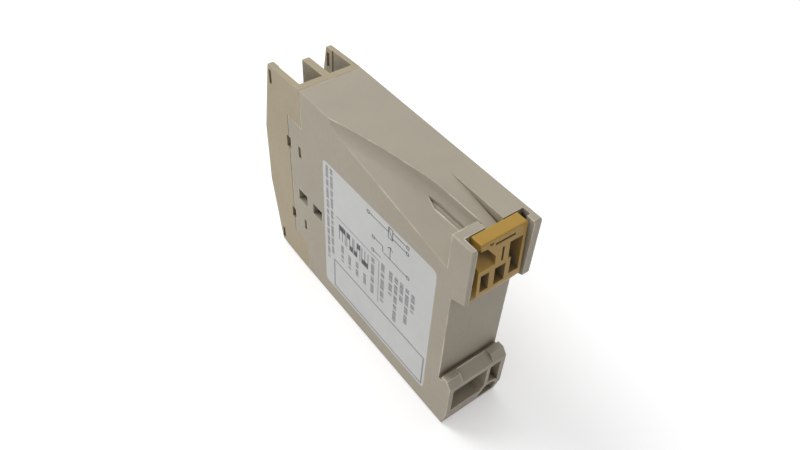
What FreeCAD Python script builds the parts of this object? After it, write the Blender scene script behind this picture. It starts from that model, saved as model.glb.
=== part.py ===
"""Rail-mounted timer relay, 22.5 mm wide, standing on its lower end with the rail clip at the top.

X is the width (label side +X), Y the depth (front -Y, rail side +Y) and Z the height.
The origin is the centre of the lower end. All sizes are in millimetres.
"""
import FreeCAD
import Part
import math
import os

# Overall size
WIDTH = 22.5
HEIGHT = 80.0
DEPTH = 103.0

# Walls and general clearances
WALL = 1.8
REAR_WALL = 2.0
EDGE_ROUND = 0.4
SEAM_GAP = 0.15
SLIDE_GAP = 0.15
RUNNING_GAP = 0.08
OVERCUT = 1.0
TINY = 1e-6

# Joint line between rear case and front block, measured back from the front
END_SEAM = 23.7
TONGUE_SEAM = 15.7
TONGUE_HEIGHT = 52.0
TONGUE_END_GAP = 0.35

# Rail seat and fixed hook, measured in from the rear and up from the lower end
RAIL_SEAT_DEPTH = 5.7
RAIL_HEIGHT = 35.0
RAIL_CENTRE_DROP = 1.5
HOOK_SETBACK = 0.3
HOOK_LIP_HEIGHT = 1.8
HOOK_SLANT_HEIGHT = 2.4
HOOK_SLANT_DEPTH = 1.85
HOOK_LIP_INNER = 4.4
FOOT_SLANT_HEIGHT = 6.8
FOOT_SLANT_DEPTH = 1.6
HOOK_POCKET_DEPTH = 4.2
HOOK_RIB = 1.7
HOOK_POCKET_DROP = 4.0
HOOK_POCKET_BOTTOM = 7.9
HOOK_WEB_X = -4.6
HOOK_ARCH_X = -6.2
HOOK_ARCH_Z = 5.6
HOOK_ARCH_RADIUS = 3.3
HOOK_ARCH_WALL = 1.2
HOOK_RECESS_X = 6.0
HOOK_RECESS_DROP = 0.15

# Clip guards and the screwdriver scoop at the upper end
GUARD_THICKNESS = 1.55
FAR_GUARD_THICKNESS = 2.75
GUARD_RAIL_GAP = 1.9
NEAR_GUARD_SETBACK = 0.6
GUARD_SLANT = 2.2
GUARD_CORNER = 0.5
GUARD_GROOVE_DEPTH = 0.6
GUARD_GROOVE_WIDTH = 2.7
SCOOP_APEX_FROM_REAR = 64.0
SCOOP_SIDE_DROP = 2.25
SCOOP_SIDE_SLOPE = 0.183
SCOOP_CROSS_SLOPE = 0.5
SCOOP_WALL_END_X = 0.75
SCOOP_WALL_SAG = 1.65
SCOOP_BLEND = 5.0
SCOOP_ROOF_DROP = 0.9
CHANNEL_TIP_X = 3.9
CHANNEL_TIP_FROM_REAR = 26.5
CHANNEL_SHOULDER_XS = (3.25, 4.5)
CHANNEL_SHOULDER_FROM_REAR = 22.9
CHANNEL_END_XS = (1.75, 2.9)
CHANNEL_DEPTH = 0.55
CROSS_WALL_THICKNESS = 2.9
CROSS_WALL_END_X = 3.0
RAMP_FROM_REAR = 26.0
RAMP_DROP = 2.55
RAMP_FAR_X = -3.0
RAMP_SLIT_FROM_REAR = 17.9
RAMP_SLIT_WIDTH = 0.7
RAMP_SLIT_DEPTH = 9.0

# Sliding rail clip: its rear face leans out towards the rail; pockets as x from its centre, drop from its top
CLIP_WIDTH = 15.4
CLIP_SHIFT = 0.1
CLIP_TOP_SETBACK = 1.5
CLIP_FOOT_SETBACK = 0.4
CLIP_TRAVEL = 4.0
CLIP_FACE_RAIL_GAP = 5.6
CLIP_NOSE_LAP = 1.2
CLIP_NOSE_THICKNESS = 0.8
RAIL_THICKNESS = 1.0
CLIP_FLANGE_HEIGHT = 12.0
CLIP_FLANGE_DROP = 6.0
CLIP_WEB = 0.9
CLIP_SLIT_DEPTH = 1.6
CLIP_EDGE_WALL = 1.0
CLIP_RIB = 1.6
CLIP_BAR_SLIT = (-3.8, 2.9, 1.8, 2.5)
CLIP_SHORT_SLIT = (3.6, 4.9, 1.1, 1.7)
CLIP_CENTRE_SLIT = (-0.5, 0.2, 4.6, 9.5)
CLIP_NEAR_POCKET_CORNER = ((5.5, 2.4), (2.3, 6.5))
CLIP_NEAR_POCKET_DROPS = (1.9, 6.4, 9.4)
CLIP_TALL_POCKET_X = -2.3
CLIP_TALL_POCKET_STEP = 1.0
CLIP_TALL_POCKET_DROPS = (4.2, 10.0)
CLIP_TALL_POCKET_FOOT = 2.2
CLIP_LOWER_DROP = 11.2
CLIP_LOWER_FOOT = 1.2
CLIP_LOWER_SPLIT_X = 2.9
CLIP_LOWER_RIB = 1.9
CLIP_NUB_WIDTH = 2.4
CLIP_NUB_HEIGHT = 2.0
CLIP_NUB_DEPTH = 0.9
CLIP_NUB_DROP = 16.0
CLIP_EDGE_ROUND = 0.45

# Side label, measured from the rear and from the lower end
LABEL_FROM_REAR = 11.95
LABEL_LENGTH = 55.4
LABEL_BOTTOM = 7.0
LABEL_TOP_MARGIN = 17.5
LABEL_CORNER = 1.8
LABEL_THICKNESS = 0.12
LABEL_SINK = 0.03

# Windows and latch slots in the case sides, measured back from the front; windows up from the middle,
# latches in from the ends of the tongue
WINDOW_STARTS = (19.8, 28.7)
WINDOW_LENGTH = 5.3
WINDOW_OFFSET = -6.6
WINDOW_HEIGHT = 4.6
LATCH_STARTS = (22.2, 21.1)
LATCH_FROM_TONGUE_ENDS = (6.8, 13.2)
LATCH_LENGTH = 1.7
LATCH_HEIGHT = 4.6
LATCH_NOSE_SINK = 0.6
PRY_LENGTH = 1.6

# Front block
FRONT_FLAT = 24.0
FRONT_SLOPE = 0.19
FIN_TIP_DROP = 0.9
FAR_FIN_SETBACK = 1.7
MIDDLE_FIN_SETBACK = 9.3
FIN_THICKNESS = 1.9
MIDDLE_FIN_THICKNESS = 2.6
BLOCK_WALL = 1.5
SPIGOT_WALL = 1.2
SPIGOT_REACH = 2.3
FIN_STRIP_LENGTH = 3.3
FIN_STRIP_EXTRA = 0.25
FIN_STRIP_HEIGHT = 12.0
FIN_SLOT_INSET = 0.6
FIN_SLOT_LENGTH = 1.5
FIN_SLOT_HEIGHT = 5.3
FIN_SLOT_DROP = 1.6

# Terminals: seat depth behind the front and screw distance from the step below, outer then inner level
TERMINAL_SEATS = (21.0, 12.0)
TERMINAL_SCREW_RISES = (5.0, 5.5)
CENTRE_HEIGHT = 29.0
INNER_LEVEL_HEIGHT = 11.5
BAR_THICKNESS = 0.8
BAR_WIDTH = 6.0
BAR_END_MARGIN = 4.4
BAR_NECK = 2.4
BAR_TAIL = 3.4
BAR_STEP_DOWN = 4.2
CLAMP_SIZE = 6.4
CLAMP_THICKNESS = 1.2
SCREW_SHANK_RADIUS = 1.5
SCREW_HEAD_RADIUS = 2.8
SCREW_HEAD_HEIGHT = 2.0
SCREW_SLOT_WIDTH = 0.8
SCREW_SLOT_DEPTH = 0.9
SCREW_REACH = 2.4
SCREW_HOLE_GAP = 0.25

# Front panel and controls, heights measured from the middle of the front
PANEL_WIDTH = 18.6
PANEL_HEIGHT = 24.6
PANEL_RECESS = 2.2
PANEL_THICKNESS = 0.8
DIAL_RADIUS = 6.0
DIAL_OFFSET = -0.4
DIAL_FACE_SINK = 0.25
DIAL_GAP = 0.3
DIAL_HUB_RADIUS = 2.6
DIAL_SHAFT_RADIUS = 1.5
DIAL_SHAFT_FLAT = 1.05
DIAL_SLOT_WIDTH = 1.4
DIAL_SLOT_DEPTH = 0.6
DIAL_SLOT_MARGIN = 1.2
DIAL_FLUTES = 24
DIAL_FLUTE_RADIUS = 0.35
SELECTOR_RADIUS = 2.2
SELECTOR_X = 5.0
SELECTOR_OFFSET = 9.0
SELECTOR_FACE_SINK = 0.9
SELECTOR_SLOT_WIDTH = 0.8
SELECTOR_SLOT_DEPTH = 0.7
SELECTOR_STEM_RADIUS = 1.2
LENS_RADIUS = 1.2
LENS_X = 5.6
LENS_OFFSET = -9.2
LENS_PROUD = 0.3
LENS_FIT = 0.03

# Circuit boards
CONTROL_BOARD_SETBACK = 6.3
CONTROL_BOARD_THICKNESS = 1.2
CONTROL_BOARD_MARGIN = 0.35
CONTROL_BODY_HEIGHT = 2.4
POTENTIOMETER_PIN_GAP = 0.86
SWITCH_SIZE = 6.0
LAMP_RADIUS = 1.5
MAIN_BOARD_THICKNESS = 1.6
BOARD_SIDE_GAP = 1.85
MAIN_BOARD_LIFT = 1.2
MAIN_BOARD_SHELF_GAP = 3.1
MAIN_BOARD_REAR_GAP = 0.3
BOARD_TAB_HEIGHT = 24.0
BOARD_TAB_SETBACK = 10.0
BOARD_FRONT_GAP = 0.6
POST_SIZE = 1.2
RAIL_RIB = 0.9
RAIL_RIB_HEIGHT = 3.0
RAIL_RIB_LENGTH = 60.0
PIN_COUNT = 5
PIN_PITCH = 2.0
PIN_SIZE = 0.64
PIN_PROUD = 0.6
PIN_OVERLAP = 4.0

# Parts on the main board: rear ones from its rear edge, front ones from the block's collar,
# lower ones from its lower edge, upper ones from its upper edge
CHIP_FROM_COLLAR = 3.6
CHIP_FROM_BOTTOM = 7.0
CHIP_SIZE = (19.4, 6.4, 3.4)
CHIP_STAND = 0.5
CHIP_LEGS = 8
CHIP_LEG_PITCH = 2.0
CHIP_LEG_SIZE = 0.5
MAINS_CAPACITOR_FROM_COLLAR = 4.0
MAINS_CAPACITOR_FROM_TOP = 8.9
MAINS_CAPACITOR_SIZE = (18.0, 7.0, 12.0)
SMOOTHING_CAPACITOR_FROM_COLLAR = 17.0
SMOOTHING_CAPACITOR_FROM_BOTTOM = 27.0
SMOOTHING_CAPACITOR_RADIUS = 5.0
SMOOTHING_CAPACITOR_HEIGHT = 13.0
TIMING_CAPACITOR_FROM_COLLAR = 7.0
TIMING_CAPACITOR_FROM_BOTTOM = 30.0
TIMING_CAPACITOR_RADIUS = 3.15
TIMING_CAPACITOR_HEIGHT = 11.0
CAN_GROOVE_HEIGHT = 1.8
CAN_GROOVE_RADIUS = 0.4
VARISTOR_FROM_REAR = 31.0
VARISTOR_FROM_TOP = 9.9
VARISTOR_RADIUS = 4.5
VARISTOR_THICKNESS = 3.8
VARISTOR_STAND = 1.5
VARISTOR_LEAD_SPAN = 5.0
LEAD_RADIUS = 0.35
RESISTOR_COUNT = 5
RESISTOR_FROM_REAR = 8.0
RESISTOR_FROM_BOTTOM = 8.0
RESISTOR_PITCH = 4.0
RESISTOR_RADIUS = 1.2
RESISTOR_LENGTH = 6.3
DIODE_COUNT = 4
DIODE_FROM_REAR = 8.0
DIODE_FROM_TOP = 11.5
DIODE_PITCH = 4.5
DIODE_RADIUS = 1.35
DIODE_LENGTH = 5.0
LEAD_REACH = 2.0
LEAD_BEND = 0.9
TRANSISTOR_FROM_REAR = 38.0
TRANSISTOR_FROM_BOTTOM = 39.0
TRANSISTOR_RADIUS = 2.4
TRANSISTOR_HEIGHT = 4.8
TRANSISTOR_STAND = 2.0

# Output relay on the main board
RELAY_FROM_REAR = 4.0
RELAY_FROM_BOTTOM = 20.0
RELAY_LENGTH = 30.0
RELAY_WIDTH = 14.0
RELAY_BASE_THICKNESS = 1.5
RELAY_COVER_WALL = 0.8
RELAY_COVER_GAP = 0.3
RELAY_TOP_GAP = 0.85
IRON_THICKNESS = 1.2
COIL_LENGTH = 16.0
COIL_MARGIN = 0.6
COIL_DECK_GAP = 0.7
BOBBIN_FLANGE = 1.0
BOBBIN_TUBE_WALL = 0.65
CORE_SHARE = 0.476
POLE_RIM = 1.2
POLE_THICKNESS = 0.8
YOKE_HALF = 4.5
ARMATURE_GAP = 0.1
ARMATURE_STAND = 3.0
ARMATURE_SWING = 6.0
CARRIER_THICKNESS = 1.4
CARRIER_HEIGHT = 4.0
CARRIER_HALF = 5.4
CONTACT_SPRING_THICKNESS = 0.3
CONTACT_SPRING_WIDTH = 2.4
CONTACT_SPRING_LENGTH = 5.1
CONTACT_SPRING_LAP = 3.0
CONTACT_Z = 3.6
RIVET_RADIUS = 0.8
RIVET_HEIGHT = 0.4
RIVET_INSET = 0.9
CONTACT_GAP = 0.05
CONTACT_BLADE = 0.6
HINGE_SPRING_THICKNESS = 0.3
HINGE_SPRING_HALF = 3.0
HINGE_SPRING_LENGTH = 8.0
HINGE_SPRING_OVERHANG = 1.4
HINGE_SPRING_PAD = 0.2

# Places worked out from the sizes above
HALF_WIDTH = WIDTH / 2
REAR = DEPTH / 2
FRONT = -DEPTH / 2
MIDDLE = HEIGHT / 2
SEAT_Y = REAR - RAIL_SEAT_DEPTH
HOOK_Y = REAR - HOOK_SETBACK
RAIL_FOOT = MIDDLE - RAIL_CENTRE_DROP - RAIL_HEIGHT / 2
RAIL_TOP = RAIL_FOOT + RAIL_HEIGHT
HOOK_TOP = RAIL_FOOT + HOOK_LIP_HEIGHT
HOOK_POCKET_TOP = HOOK_TOP - HOOK_POCKET_DROP
CROSS_WALL_Y = SEAT_Y - CROSS_WALL_THICKNESS
GUARD_X = HALF_WIDTH - GUARD_THICKNESS
CLIP_FACE_BOTTOM = RAIL_TOP + CLIP_FACE_RAIL_GAP
LABEL_HEIGHT = HEIGHT - LABEL_BOTTOM - LABEL_TOP_MARGIN
WINDOW_BOTTOM = MIDDLE + WINDOW_OFFSET
END_SEAM_Y = FRONT + END_SEAM
TONGUE_Y = FRONT + TONGUE_SEAM
TONGUE_LOW = MIDDLE - TONGUE_HEIGHT / 2
TONGUE_HIGH = MIDDLE + TONGUE_HEIGHT / 2
LATCH_BOTTOMS = (TONGUE_LOW + LATCH_FROM_TONGUE_ENDS[0], TONGUE_HIGH - LATCH_FROM_TONGUE_ENDS[1])
COLLAR_Y = END_SEAM_Y + SPIGOT_REACH
INNER_X = HALF_WIDTH - WALL
INNER_REAR_Y = SEAT_Y - REAR_WALL
SPIGOT_X = INNER_X - SEAM_GAP
FIN_X = HALF_WIDTH - FIN_THICKNESS
BAY_X = (MIDDLE_FIN_THICKNESS / 2 + FIN_X) / 2
BAY_FLOOR = (HEIGHT - CENTRE_HEIGHT) / 2
BAY_SHELF = BAY_FLOOR - INNER_LEVEL_HEIGHT
BAY_STEPS = (BAY_SHELF, BAY_FLOOR)
TERMINAL_SCREWS = [step - rise for step, rise in zip(BAY_STEPS, TERMINAL_SCREW_RISES)]
PANEL_BACK_Y = FRONT + PANEL_RECESS
FRONT_WALL_BACK_Y = PANEL_BACK_Y + BLOCK_WALL
CONTROL_BOARD_Y = FRONT + CONTROL_BOARD_SETBACK
MAIN_BOARD_X = BOARD_SIDE_GAP - INNER_X
BOARD_FACE_X = MAIN_BOARD_X + MAIN_BOARD_THICKNESS
MAIN_BOARD_TOP = HEIGHT - BAY_SHELF - MAIN_BOARD_SHELF_GAP
BOARD_BOTTOM = WALL + MAIN_BOARD_LIFT
BOARD_REAR_Y = INNER_REAR_Y - MAIN_BOARD_REAR_GAP
BOARD_TAB_Y = FRONT + BOARD_TAB_SETBACK
DIAL_Z = MIDDLE + DIAL_OFFSET
SELECTOR_Z = MIDDLE + SELECTOR_OFFSET
LENS_Z = MIDDLE + LENS_OFFSET


# Small building blocks

def vec(x, y, z):
    return FreeCAD.Vector(x, y, z)


def box(x0, x1, y0, y1, z0, z1):
    return Part.makeBox(x1 - x0, y1 - y0, z1 - z0, vec(x0, y0, z0))


def extruded(points, direction):
    wire = Part.makePolygon(points + points[:1])
    return Part.Face(wire).extrude(direction)


def prism_x(outline, x0, x1):
    """Solid with a (y, z) outline, drawn out along X."""
    return extruded([vec(x0, y, z) for y, z in outline], vec(x1 - x0, 0, 0))


def prism_y(outline, y0, y1):
    """Solid with an (x, z) outline, drawn out along Y."""
    return extruded([vec(x, y0, z) for x, z in outline], vec(0, y1 - y0, 0))


def rod_x(y, z, radius, x0, x1):
    return Part.makeCylinder(radius, x1 - x0, vec(x0, y, z), vec(1, 0, 0))


def rod_y(x, z, radius, y0, y1):
    return Part.makeCylinder(radius, y1 - y0, vec(x, y0, z), vec(0, 1, 0))


def rod_z(x, y, radius, z0, z1):
    return Part.makeCylinder(radius, z1 - z0, vec(x, y, z0), vec(0, 0, 1))


def joined(shapes):
    return shapes[0].multiFuse(shapes[1:]).removeSplitter()


def without(shape, tools):
    return shape.cut(Part.makeCompound(tools)).removeSplitter()


def group(shapes):
    return Part.makeCompound(shapes)


def both_ends(shape):
    """The shape at the upper end and its mirror image at the lower end."""
    return [shape, shape.mirror(vec(0, 0, MIDDLE), vec(0, 0, 1))]


def rounded(shape, radius, wanted):
    """Round the edges whose middle point and direction the test accepts."""
    edges = []
    for edge in shape.Edges:
        middle = edge.valueAt((edge.FirstParameter + edge.LastParameter) / 2)
        span = edge.Vertexes[-1].Point.sub(edge.Vertexes[0].Point)
        if wanted(middle, span):
            edges.append(edge)
    return shape.makeFillet(radius, edges)


def along_y(span):
    return abs(span.x) < TINY and abs(span.z) < TINY and abs(span.y) > TINY


def along_x(span):
    return abs(span.y) < TINY and abs(span.z) < TINY and abs(span.x) > TINY


# Rear case

def scoop_border_z(y):
    """Height of the scoop's lower border on the label side."""
    apex_z = HEIGHT - SCOOP_SIDE_DROP
    return apex_z - SCOOP_SIDE_SLOPE * (y - (REAR - SCOOP_APEX_FROM_REAR))


def facet_z(x, y):
    """Height of the scoop's slanted facet, which rises from its border towards the wall."""
    return scoop_border_z(y) + SCOOP_CROSS_SLOPE * (HALF_WIDTH - x)


def label_side_of_wall():
    """Upright column that holds everything on the label side of the curved scoop wall."""
    apex_y = REAR - SCOOP_APEX_FROM_REAR
    out = HALF_WIDTH + SCOOP_BLEND + OVERCUT
    lead = vec(HALF_WIDTH, apex_y, 0)
    tail = vec(SCOOP_WALL_END_X, SEAT_Y, 0)
    bulge = (lead + tail) / 2 - vec(SCOOP_WALL_SAG, 0, 0)
    wall = Part.Arc(lead, bulge, tail).toShape()
    corners = [tail, vec(out, SEAT_Y, 0), vec(out, apex_y, 0), lead]
    border = [Part.LineSegment(a, b).toShape() for a, b in zip(corners, corners[1:])]
    return Part.Face(Part.Wire([wall] + border)).extrude(vec(0, 0, 2 * HEIGHT))


def scoop():
    """Slanted facet from the label side up to a curved wall, rounded where the two meet."""
    apex_y = REAR - SCOOP_APEX_FROM_REAR
    far = -HALF_WIDTH
    out = HALF_WIDTH + SCOOP_BLEND + OVERCUT
    corners = ((far, apex_y), (out, apex_y), (out, SEAT_Y), (far, SEAT_Y))
    floor = [vec(x, y, facet_z(x, y)) for x, y in corners]
    tool = label_side_of_wall().common(extruded(floor, vec(0, 0, HEIGHT)))

    def base_of_wall(middle, span):
        on_floor = abs(middle.z - facet_z(middle.x, middle.y)) < SEAM_GAP
        return on_floor and middle.x < HALF_WIDTH and abs(span.y) > SCOOP_APEX_FROM_REAR / 2

    tool = rounded(tool, SCOOP_BLEND, base_of_wall)
    return tool.cut(box(far, out, CROSS_WALL_Y, REAR, 0, 2 * HEIGHT))


def channel():
    """Shallow pointed channel in the facet along the foot of the scoop wall, down to the cross wall."""
    far_x, near_x = CHANNEL_SHOULDER_XS
    far_end, near_end = CHANNEL_END_XS
    tip_y = REAR - CHANNEL_TIP_FROM_REAR
    shoulder_y = REAR - CHANNEL_SHOULDER_FROM_REAR
    outline = [(CHANNEL_TIP_X, tip_y), (near_x, shoulder_y), (near_end, CROSS_WALL_Y),
               (far_end, CROSS_WALL_Y), (far_x, shoulder_y)]
    floor = [vec(x, y, facet_z(x, y) - CHANNEL_DEPTH) for x, y in outline]
    return extruded(floor, vec(0, 0, HEIGHT))


def ramp():
    """Ramp beside the scoop wall down to the clip, with a tapering slit along its far edge."""
    above = HEIGHT + OVERCUT
    ramp_y = REAR - RAMP_FROM_REAR
    ramp_z = HEIGHT - RAMP_DROP
    outline = [(ramp_y, HEIGHT), (SEAT_Y, ramp_z), (SEAT_Y, above), (ramp_y, above)]
    slit_y = REAR - RAMP_SLIT_FROM_REAR
    slit_z = HEIGHT - RAMP_SLIT_DEPTH
    slit_corners = [(RAMP_FAR_X, slit_y), (RAMP_FAR_X + RAMP_SLIT_WIDTH, SEAT_Y), (RAMP_FAR_X, SEAT_Y)]
    slit = extruded([vec(x, y, slit_z) for x, y in slit_corners], vec(0, 0, above - slit_z))
    return [prism_x(outline, RAMP_FAR_X, CROSS_WALL_END_X), slit]


def hook_pockets():
    """Core-outs in the rear face of the fixed hook, around an arched notch in its foot."""
    y0 = HOOK_Y - HOOK_POCKET_DEPTH
    side = HALF_WIDTH - HOOK_RIB
    arch = rod_y(HOOK_ARCH_X, HOOK_ARCH_Z, HOOK_ARCH_RADIUS, y0, REAR)
    arch_wall = rod_y(HOOK_ARCH_X, HOOK_ARCH_Z, HOOK_ARCH_RADIUS + HOOK_ARCH_WALL, y0, REAR)
    web = HOOK_ARCH_WALL / 2
    large = box(HOOK_WEB_X + web, side, y0, REAR, HOOK_POCKET_BOTTOM, HOOK_POCKET_TOP)
    small = box(-side, HOOK_WEB_X - web, y0, REAR, HOOK_POCKET_BOTTOM, HOOK_POCKET_TOP)
    foot_x0 = HOOK_ARCH_X - HOOK_ARCH_RADIUS
    foot_x1 = HOOK_ARCH_X + HOOK_ARCH_RADIUS
    floor = HOOK_RIB
    foot = box(foot_x0, foot_x1, y0, REAR, floor, HOOK_ARCH_Z)
    arch_top = arch.common(box(foot_x0, foot_x1, y0, REAR, HOOK_ARCH_Z, HEIGHT))
    return [large.cut(arch_wall), small.cut(arch_wall), foot, arch_top]


def hook_recess():
    """Slanted recess in the top of the hook, between its two raised ends."""
    inner_y = REAR - HOOK_LIP_INNER
    high = HOOK_TOP - HOOK_RECESS_DROP
    low = high - HOOK_SLANT_HEIGHT
    above = HOOK_TOP + OVERCUT
    outline = [(inner_y, high), (HOOK_Y, low), (REAR, low), (REAR, above), (inner_y, above)]
    return prism_x(outline, -HOOK_RECESS_X, HOOK_RECESS_X)


def guard(side):
    """One of the two plates beside the clip, grooved inside for its flange; the far one has a thick lip."""
    low = RAIL_TOP + GUARD_RAIL_GAP
    front = SEAT_Y - REAR_WALL
    rear = REAR - (NEAR_GUARD_SETBACK if side > 0 else 0)
    outline = [(front, low), (SEAT_Y, low), (rear, low + GUARD_SLANT), (rear, HEIGHT - GUARD_CORNER),
               (rear - GUARD_CORNER, HEIGHT), (front, HEIGHT)]
    inner_x = HALF_WIDTH - (GUARD_THICKNESS if side > 0 else FAR_GUARD_THICKNESS)
    plate = prism_x(outline, inner_x, HALF_WIDTH)

    def outer_edge(middle, span):
        return abs(middle.x - HALF_WIDTH) < TINY and middle.y > SEAT_Y + TINY

    plate = rounded(plate, EDGE_ROUND, outer_edge)
    groove_x = GUARD_X + GUARD_GROOVE_DEPTH
    groove_y = SEAT_Y + GUARD_GROOVE_WIDTH
    groove_top = HEIGHT - CLIP_FLANGE_DROP + CLIP_TRAVEL + 2 * SLIDE_GAP
    groove = box(GUARD_X, groove_x, SEAT_Y, groove_y, 0, groove_top)
    clip_space = box(inner_x - OVERCUT, GUARD_X, SEAT_Y, groove_y, 0, HEIGHT + OVERCUT)
    plate = without(plate, [groove, clip_space])
    if side < 0:
        plate = plate.mirror(vec(0, 0, 0), vec(1, 0, 0))
    return plate


def case_cavity():
    """Inner space, open to the front, with a roof that runs down under the scoop."""
    front = TONGUE_Y - OVERCUT
    apex_y = REAR - SCOOP_APEX_FROM_REAR
    roof_front = HEIGHT - WALL
    roof_start = apex_y - WALL
    roof_next = min(roof_front, scoop_border_z(apex_y) - SCOOP_ROOF_DROP)
    roof_rear = scoop_border_z(INNER_REAR_Y) - SCOOP_ROOF_DROP
    outline = [(front, WALL), (INNER_REAR_Y, WALL), (INNER_REAR_Y, roof_rear), (apex_y, roof_next),
               (roof_start, roof_front), (front, roof_front)]
    main = prism_x(outline, -INNER_X, INNER_X)
    far_x = RAMP_FAR_X - WALL
    beside = box(-INNER_X, far_x, front, INNER_REAR_Y, MIDDLE, roof_front)
    return [main, beside]


def side_openings():
    """Windows and latch slots, cut through both side walls."""
    out = HALF_WIDTH + OVERCUT
    cuts = []
    for start in WINDOW_STARTS:
        y0 = FRONT + start
        top = WINDOW_BOTTOM + WINDOW_HEIGHT
        cuts.append(box(-out, out, y0, y0 + WINDOW_LENGTH, WINDOW_BOTTOM, top))
    for start, low in zip(LATCH_STARTS, LATCH_BOTTOMS):
        y0 = FRONT + start
        cuts.append(box(-out, out, y0, y0 + LATCH_LENGTH, low, low + LATCH_HEIGHT))
        cuts.append(box(-out, out, TONGUE_Y - OVERCUT, TONGUE_Y + PRY_LENGTH / 2, low, low + LATCH_HEIGHT))
    return cuts


def board_rails():
    """Grooved ribs on the floor and the far side wall that hold the main board's edges."""
    y1 = INNER_REAR_Y
    y0 = y1 - RAIL_RIB_LENGTH
    x0 = MAIN_BOARD_X - SLIDE_GAP - RAIL_RIB
    x1 = BOARD_FACE_X + SLIDE_GAP + RAIL_RIB
    low = box(x0, x1, y0, y1, WALL / 2, BOARD_BOTTOM + RAIL_RIB_HEIGHT / 2)
    top = MAIN_BOARD_TOP + SLIDE_GAP
    high = box(-INNER_X - WALL / 2, x1, y0, y1, top - RAIL_RIB_HEIGHT / 2, top + RAIL_RIB)
    slot = box(MAIN_BOARD_X - SLIDE_GAP, BOARD_FACE_X + SLIDE_GAP, y0 - OVERCUT, y1, BOARD_BOTTOM, top)
    return [low, high], slot


def label_recess():
    """Shallow round-cornered sink for the label."""
    return label_plate(HALF_WIDTH - LABEL_THICKNESS - LABEL_SINK, HALF_WIDTH + OVERCUT)


def label_plate(x0, x1):
    y1 = REAR - LABEL_FROM_REAR
    y0 = y1 - LABEL_LENGTH
    plate = box(x0, x1, y0, y1, LABEL_BOTTOM, LABEL_BOTTOM + LABEL_HEIGHT)
    return rounded(plate, LABEL_CORNER, lambda middle, span: along_x(span))


def rear_case():
    outline = [
        (END_SEAM_Y, 0),
        (HOOK_Y - FOOT_SLANT_DEPTH, 0),
        (HOOK_Y, FOOT_SLANT_HEIGHT),
        (HOOK_Y, HOOK_TOP - HOOK_SLANT_HEIGHT),
        (HOOK_Y - HOOK_SLANT_DEPTH, HOOK_TOP),
        (REAR - HOOK_LIP_INNER, HOOK_TOP),
        (REAR - HOOK_LIP_INNER, RAIL_FOOT),
        (SEAT_Y, RAIL_FOOT),
        (SEAT_Y, HEIGHT),
        (END_SEAM_Y, HEIGHT),
    ]
    body = prism_x(outline, -HALF_WIDTH, HALF_WIDTH)

    def long_edge(middle, span):
        return along_y(span) and (middle.z < TINY or middle.z > HEIGHT - TINY)

    body = rounded(body, EDGE_ROUND, long_edge)
    tongues = []
    for x in (-HALF_WIDTH, INNER_X):
        tongues.append(box(x, x + WALL, TONGUE_Y, END_SEAM_Y + WALL, TONGUE_LOW, TONGUE_HIGH))
    body = joined([body] + tongues)
    body = without(body, case_cavity())
    ribs, slot = board_rails()
    body = joined([body] + ribs + [guard(-1), guard(1)])
    nub_low = HEIGHT - CLIP_NUB_DROP - SLIDE_GAP
    nub_high = nub_low + CLIP_NUB_HEIGHT + CLIP_TRAVEL + 2 * SLIDE_GAP
    nub_x = CLIP_NUB_WIDTH / 2 + SLIDE_GAP
    nub_slot = box(-nub_x, nub_x, SEAT_Y - CLIP_NUB_DEPTH - SLIDE_GAP, SEAT_Y, nub_low, nub_high)
    body = without(body, [scoop()])
    body = without(body, [channel()] + ramp())
    cuts = hook_pockets() + side_openings()
    return without(body, cuts + [hook_recess(), slot, nub_slot, label_recess()])


def side_label():
    x1 = HALF_WIDTH - LABEL_SINK
    return label_plate(x1 - LABEL_THICKNESS, x1)


# Rail clip

def clip_face_y(z):
    """Depth of the clip's leaning rear face at a height."""
    top_y = REAR - CLIP_TOP_SETBACK
    foot_y = REAR - CLIP_FOOT_SETBACK
    return top_y + (foot_y - top_y) * (HEIGHT - z) / (HEIGHT - CLIP_FACE_BOTTOM)


def clip_pockets():
    """Core-outs in the clip's rear face, placed from its centre and down from its top."""
    deep = SEAT_Y + SLIDE_GAP + CLIP_WEB
    shallow = clip_face_y(HEIGHT) - CLIP_SLIT_DEPTH
    out_y = REAR + OVERCUT
    side = CLIP_WIDTH / 2 - CLIP_EDGE_WALL
    open_side = CLIP_WIDTH / 2 + OVERCUT

    def pocket(x0, x1, drop0, drop1, y0):
        return box(x0, x1, y0, out_y, HEIGHT - drop1, HEIGHT - drop0)

    slits = [pocket(*place, shallow) for place in (CLIP_BAR_SLIT, CLIP_SHORT_SLIT, CLIP_CENTRE_SLIT)]
    roof, ledge, foot = [HEIGHT - drop for drop in CLIP_NEAR_POCKET_DROPS]
    corner = [(x, HEIGHT - drop) for x, drop in CLIP_NEAR_POCKET_CORNER]
    near_x = CLIP_NEAR_POCKET_CORNER[-1][0]
    over_slope = [(deep, ledge), (clip_face_y(foot), foot), (out_y, foot), (out_y, HEIGHT), (deep, HEIGHT)]
    opening = [(open_side, roof)] + corner + [(near_x, foot), (open_side, foot)]
    near = prism_x(over_slope, near_x, open_side).common(prism_y(opening, deep, out_y))
    face = HEIGHT - CLIP_FACE_BOTTOM
    top, step = CLIP_TALL_POCKET_DROPS
    bottom = face - CLIP_TALL_POCKET_FOOT
    lower = face - CLIP_LOWER_FOOT
    tall_low_x = CLIP_TALL_POCKET_X - CLIP_TALL_POCKET_STEP
    tall = [pocket(-side, CLIP_TALL_POCKET_X, top, step, deep), pocket(-side, tall_low_x, step, bottom, deep)]
    half_rib = CLIP_LOWER_RIB / 2
    split = CLIP_LOWER_SPLIT_X
    lower_near = pocket(split + half_rib, side, CLIP_LOWER_DROP, lower, deep)
    lower_middle = pocket(tall_low_x + CLIP_RIB, split - half_rib, CLIP_LOWER_DROP, lower, deep)
    return slits + [near] + tall + [lower_near, lower_middle]


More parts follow.
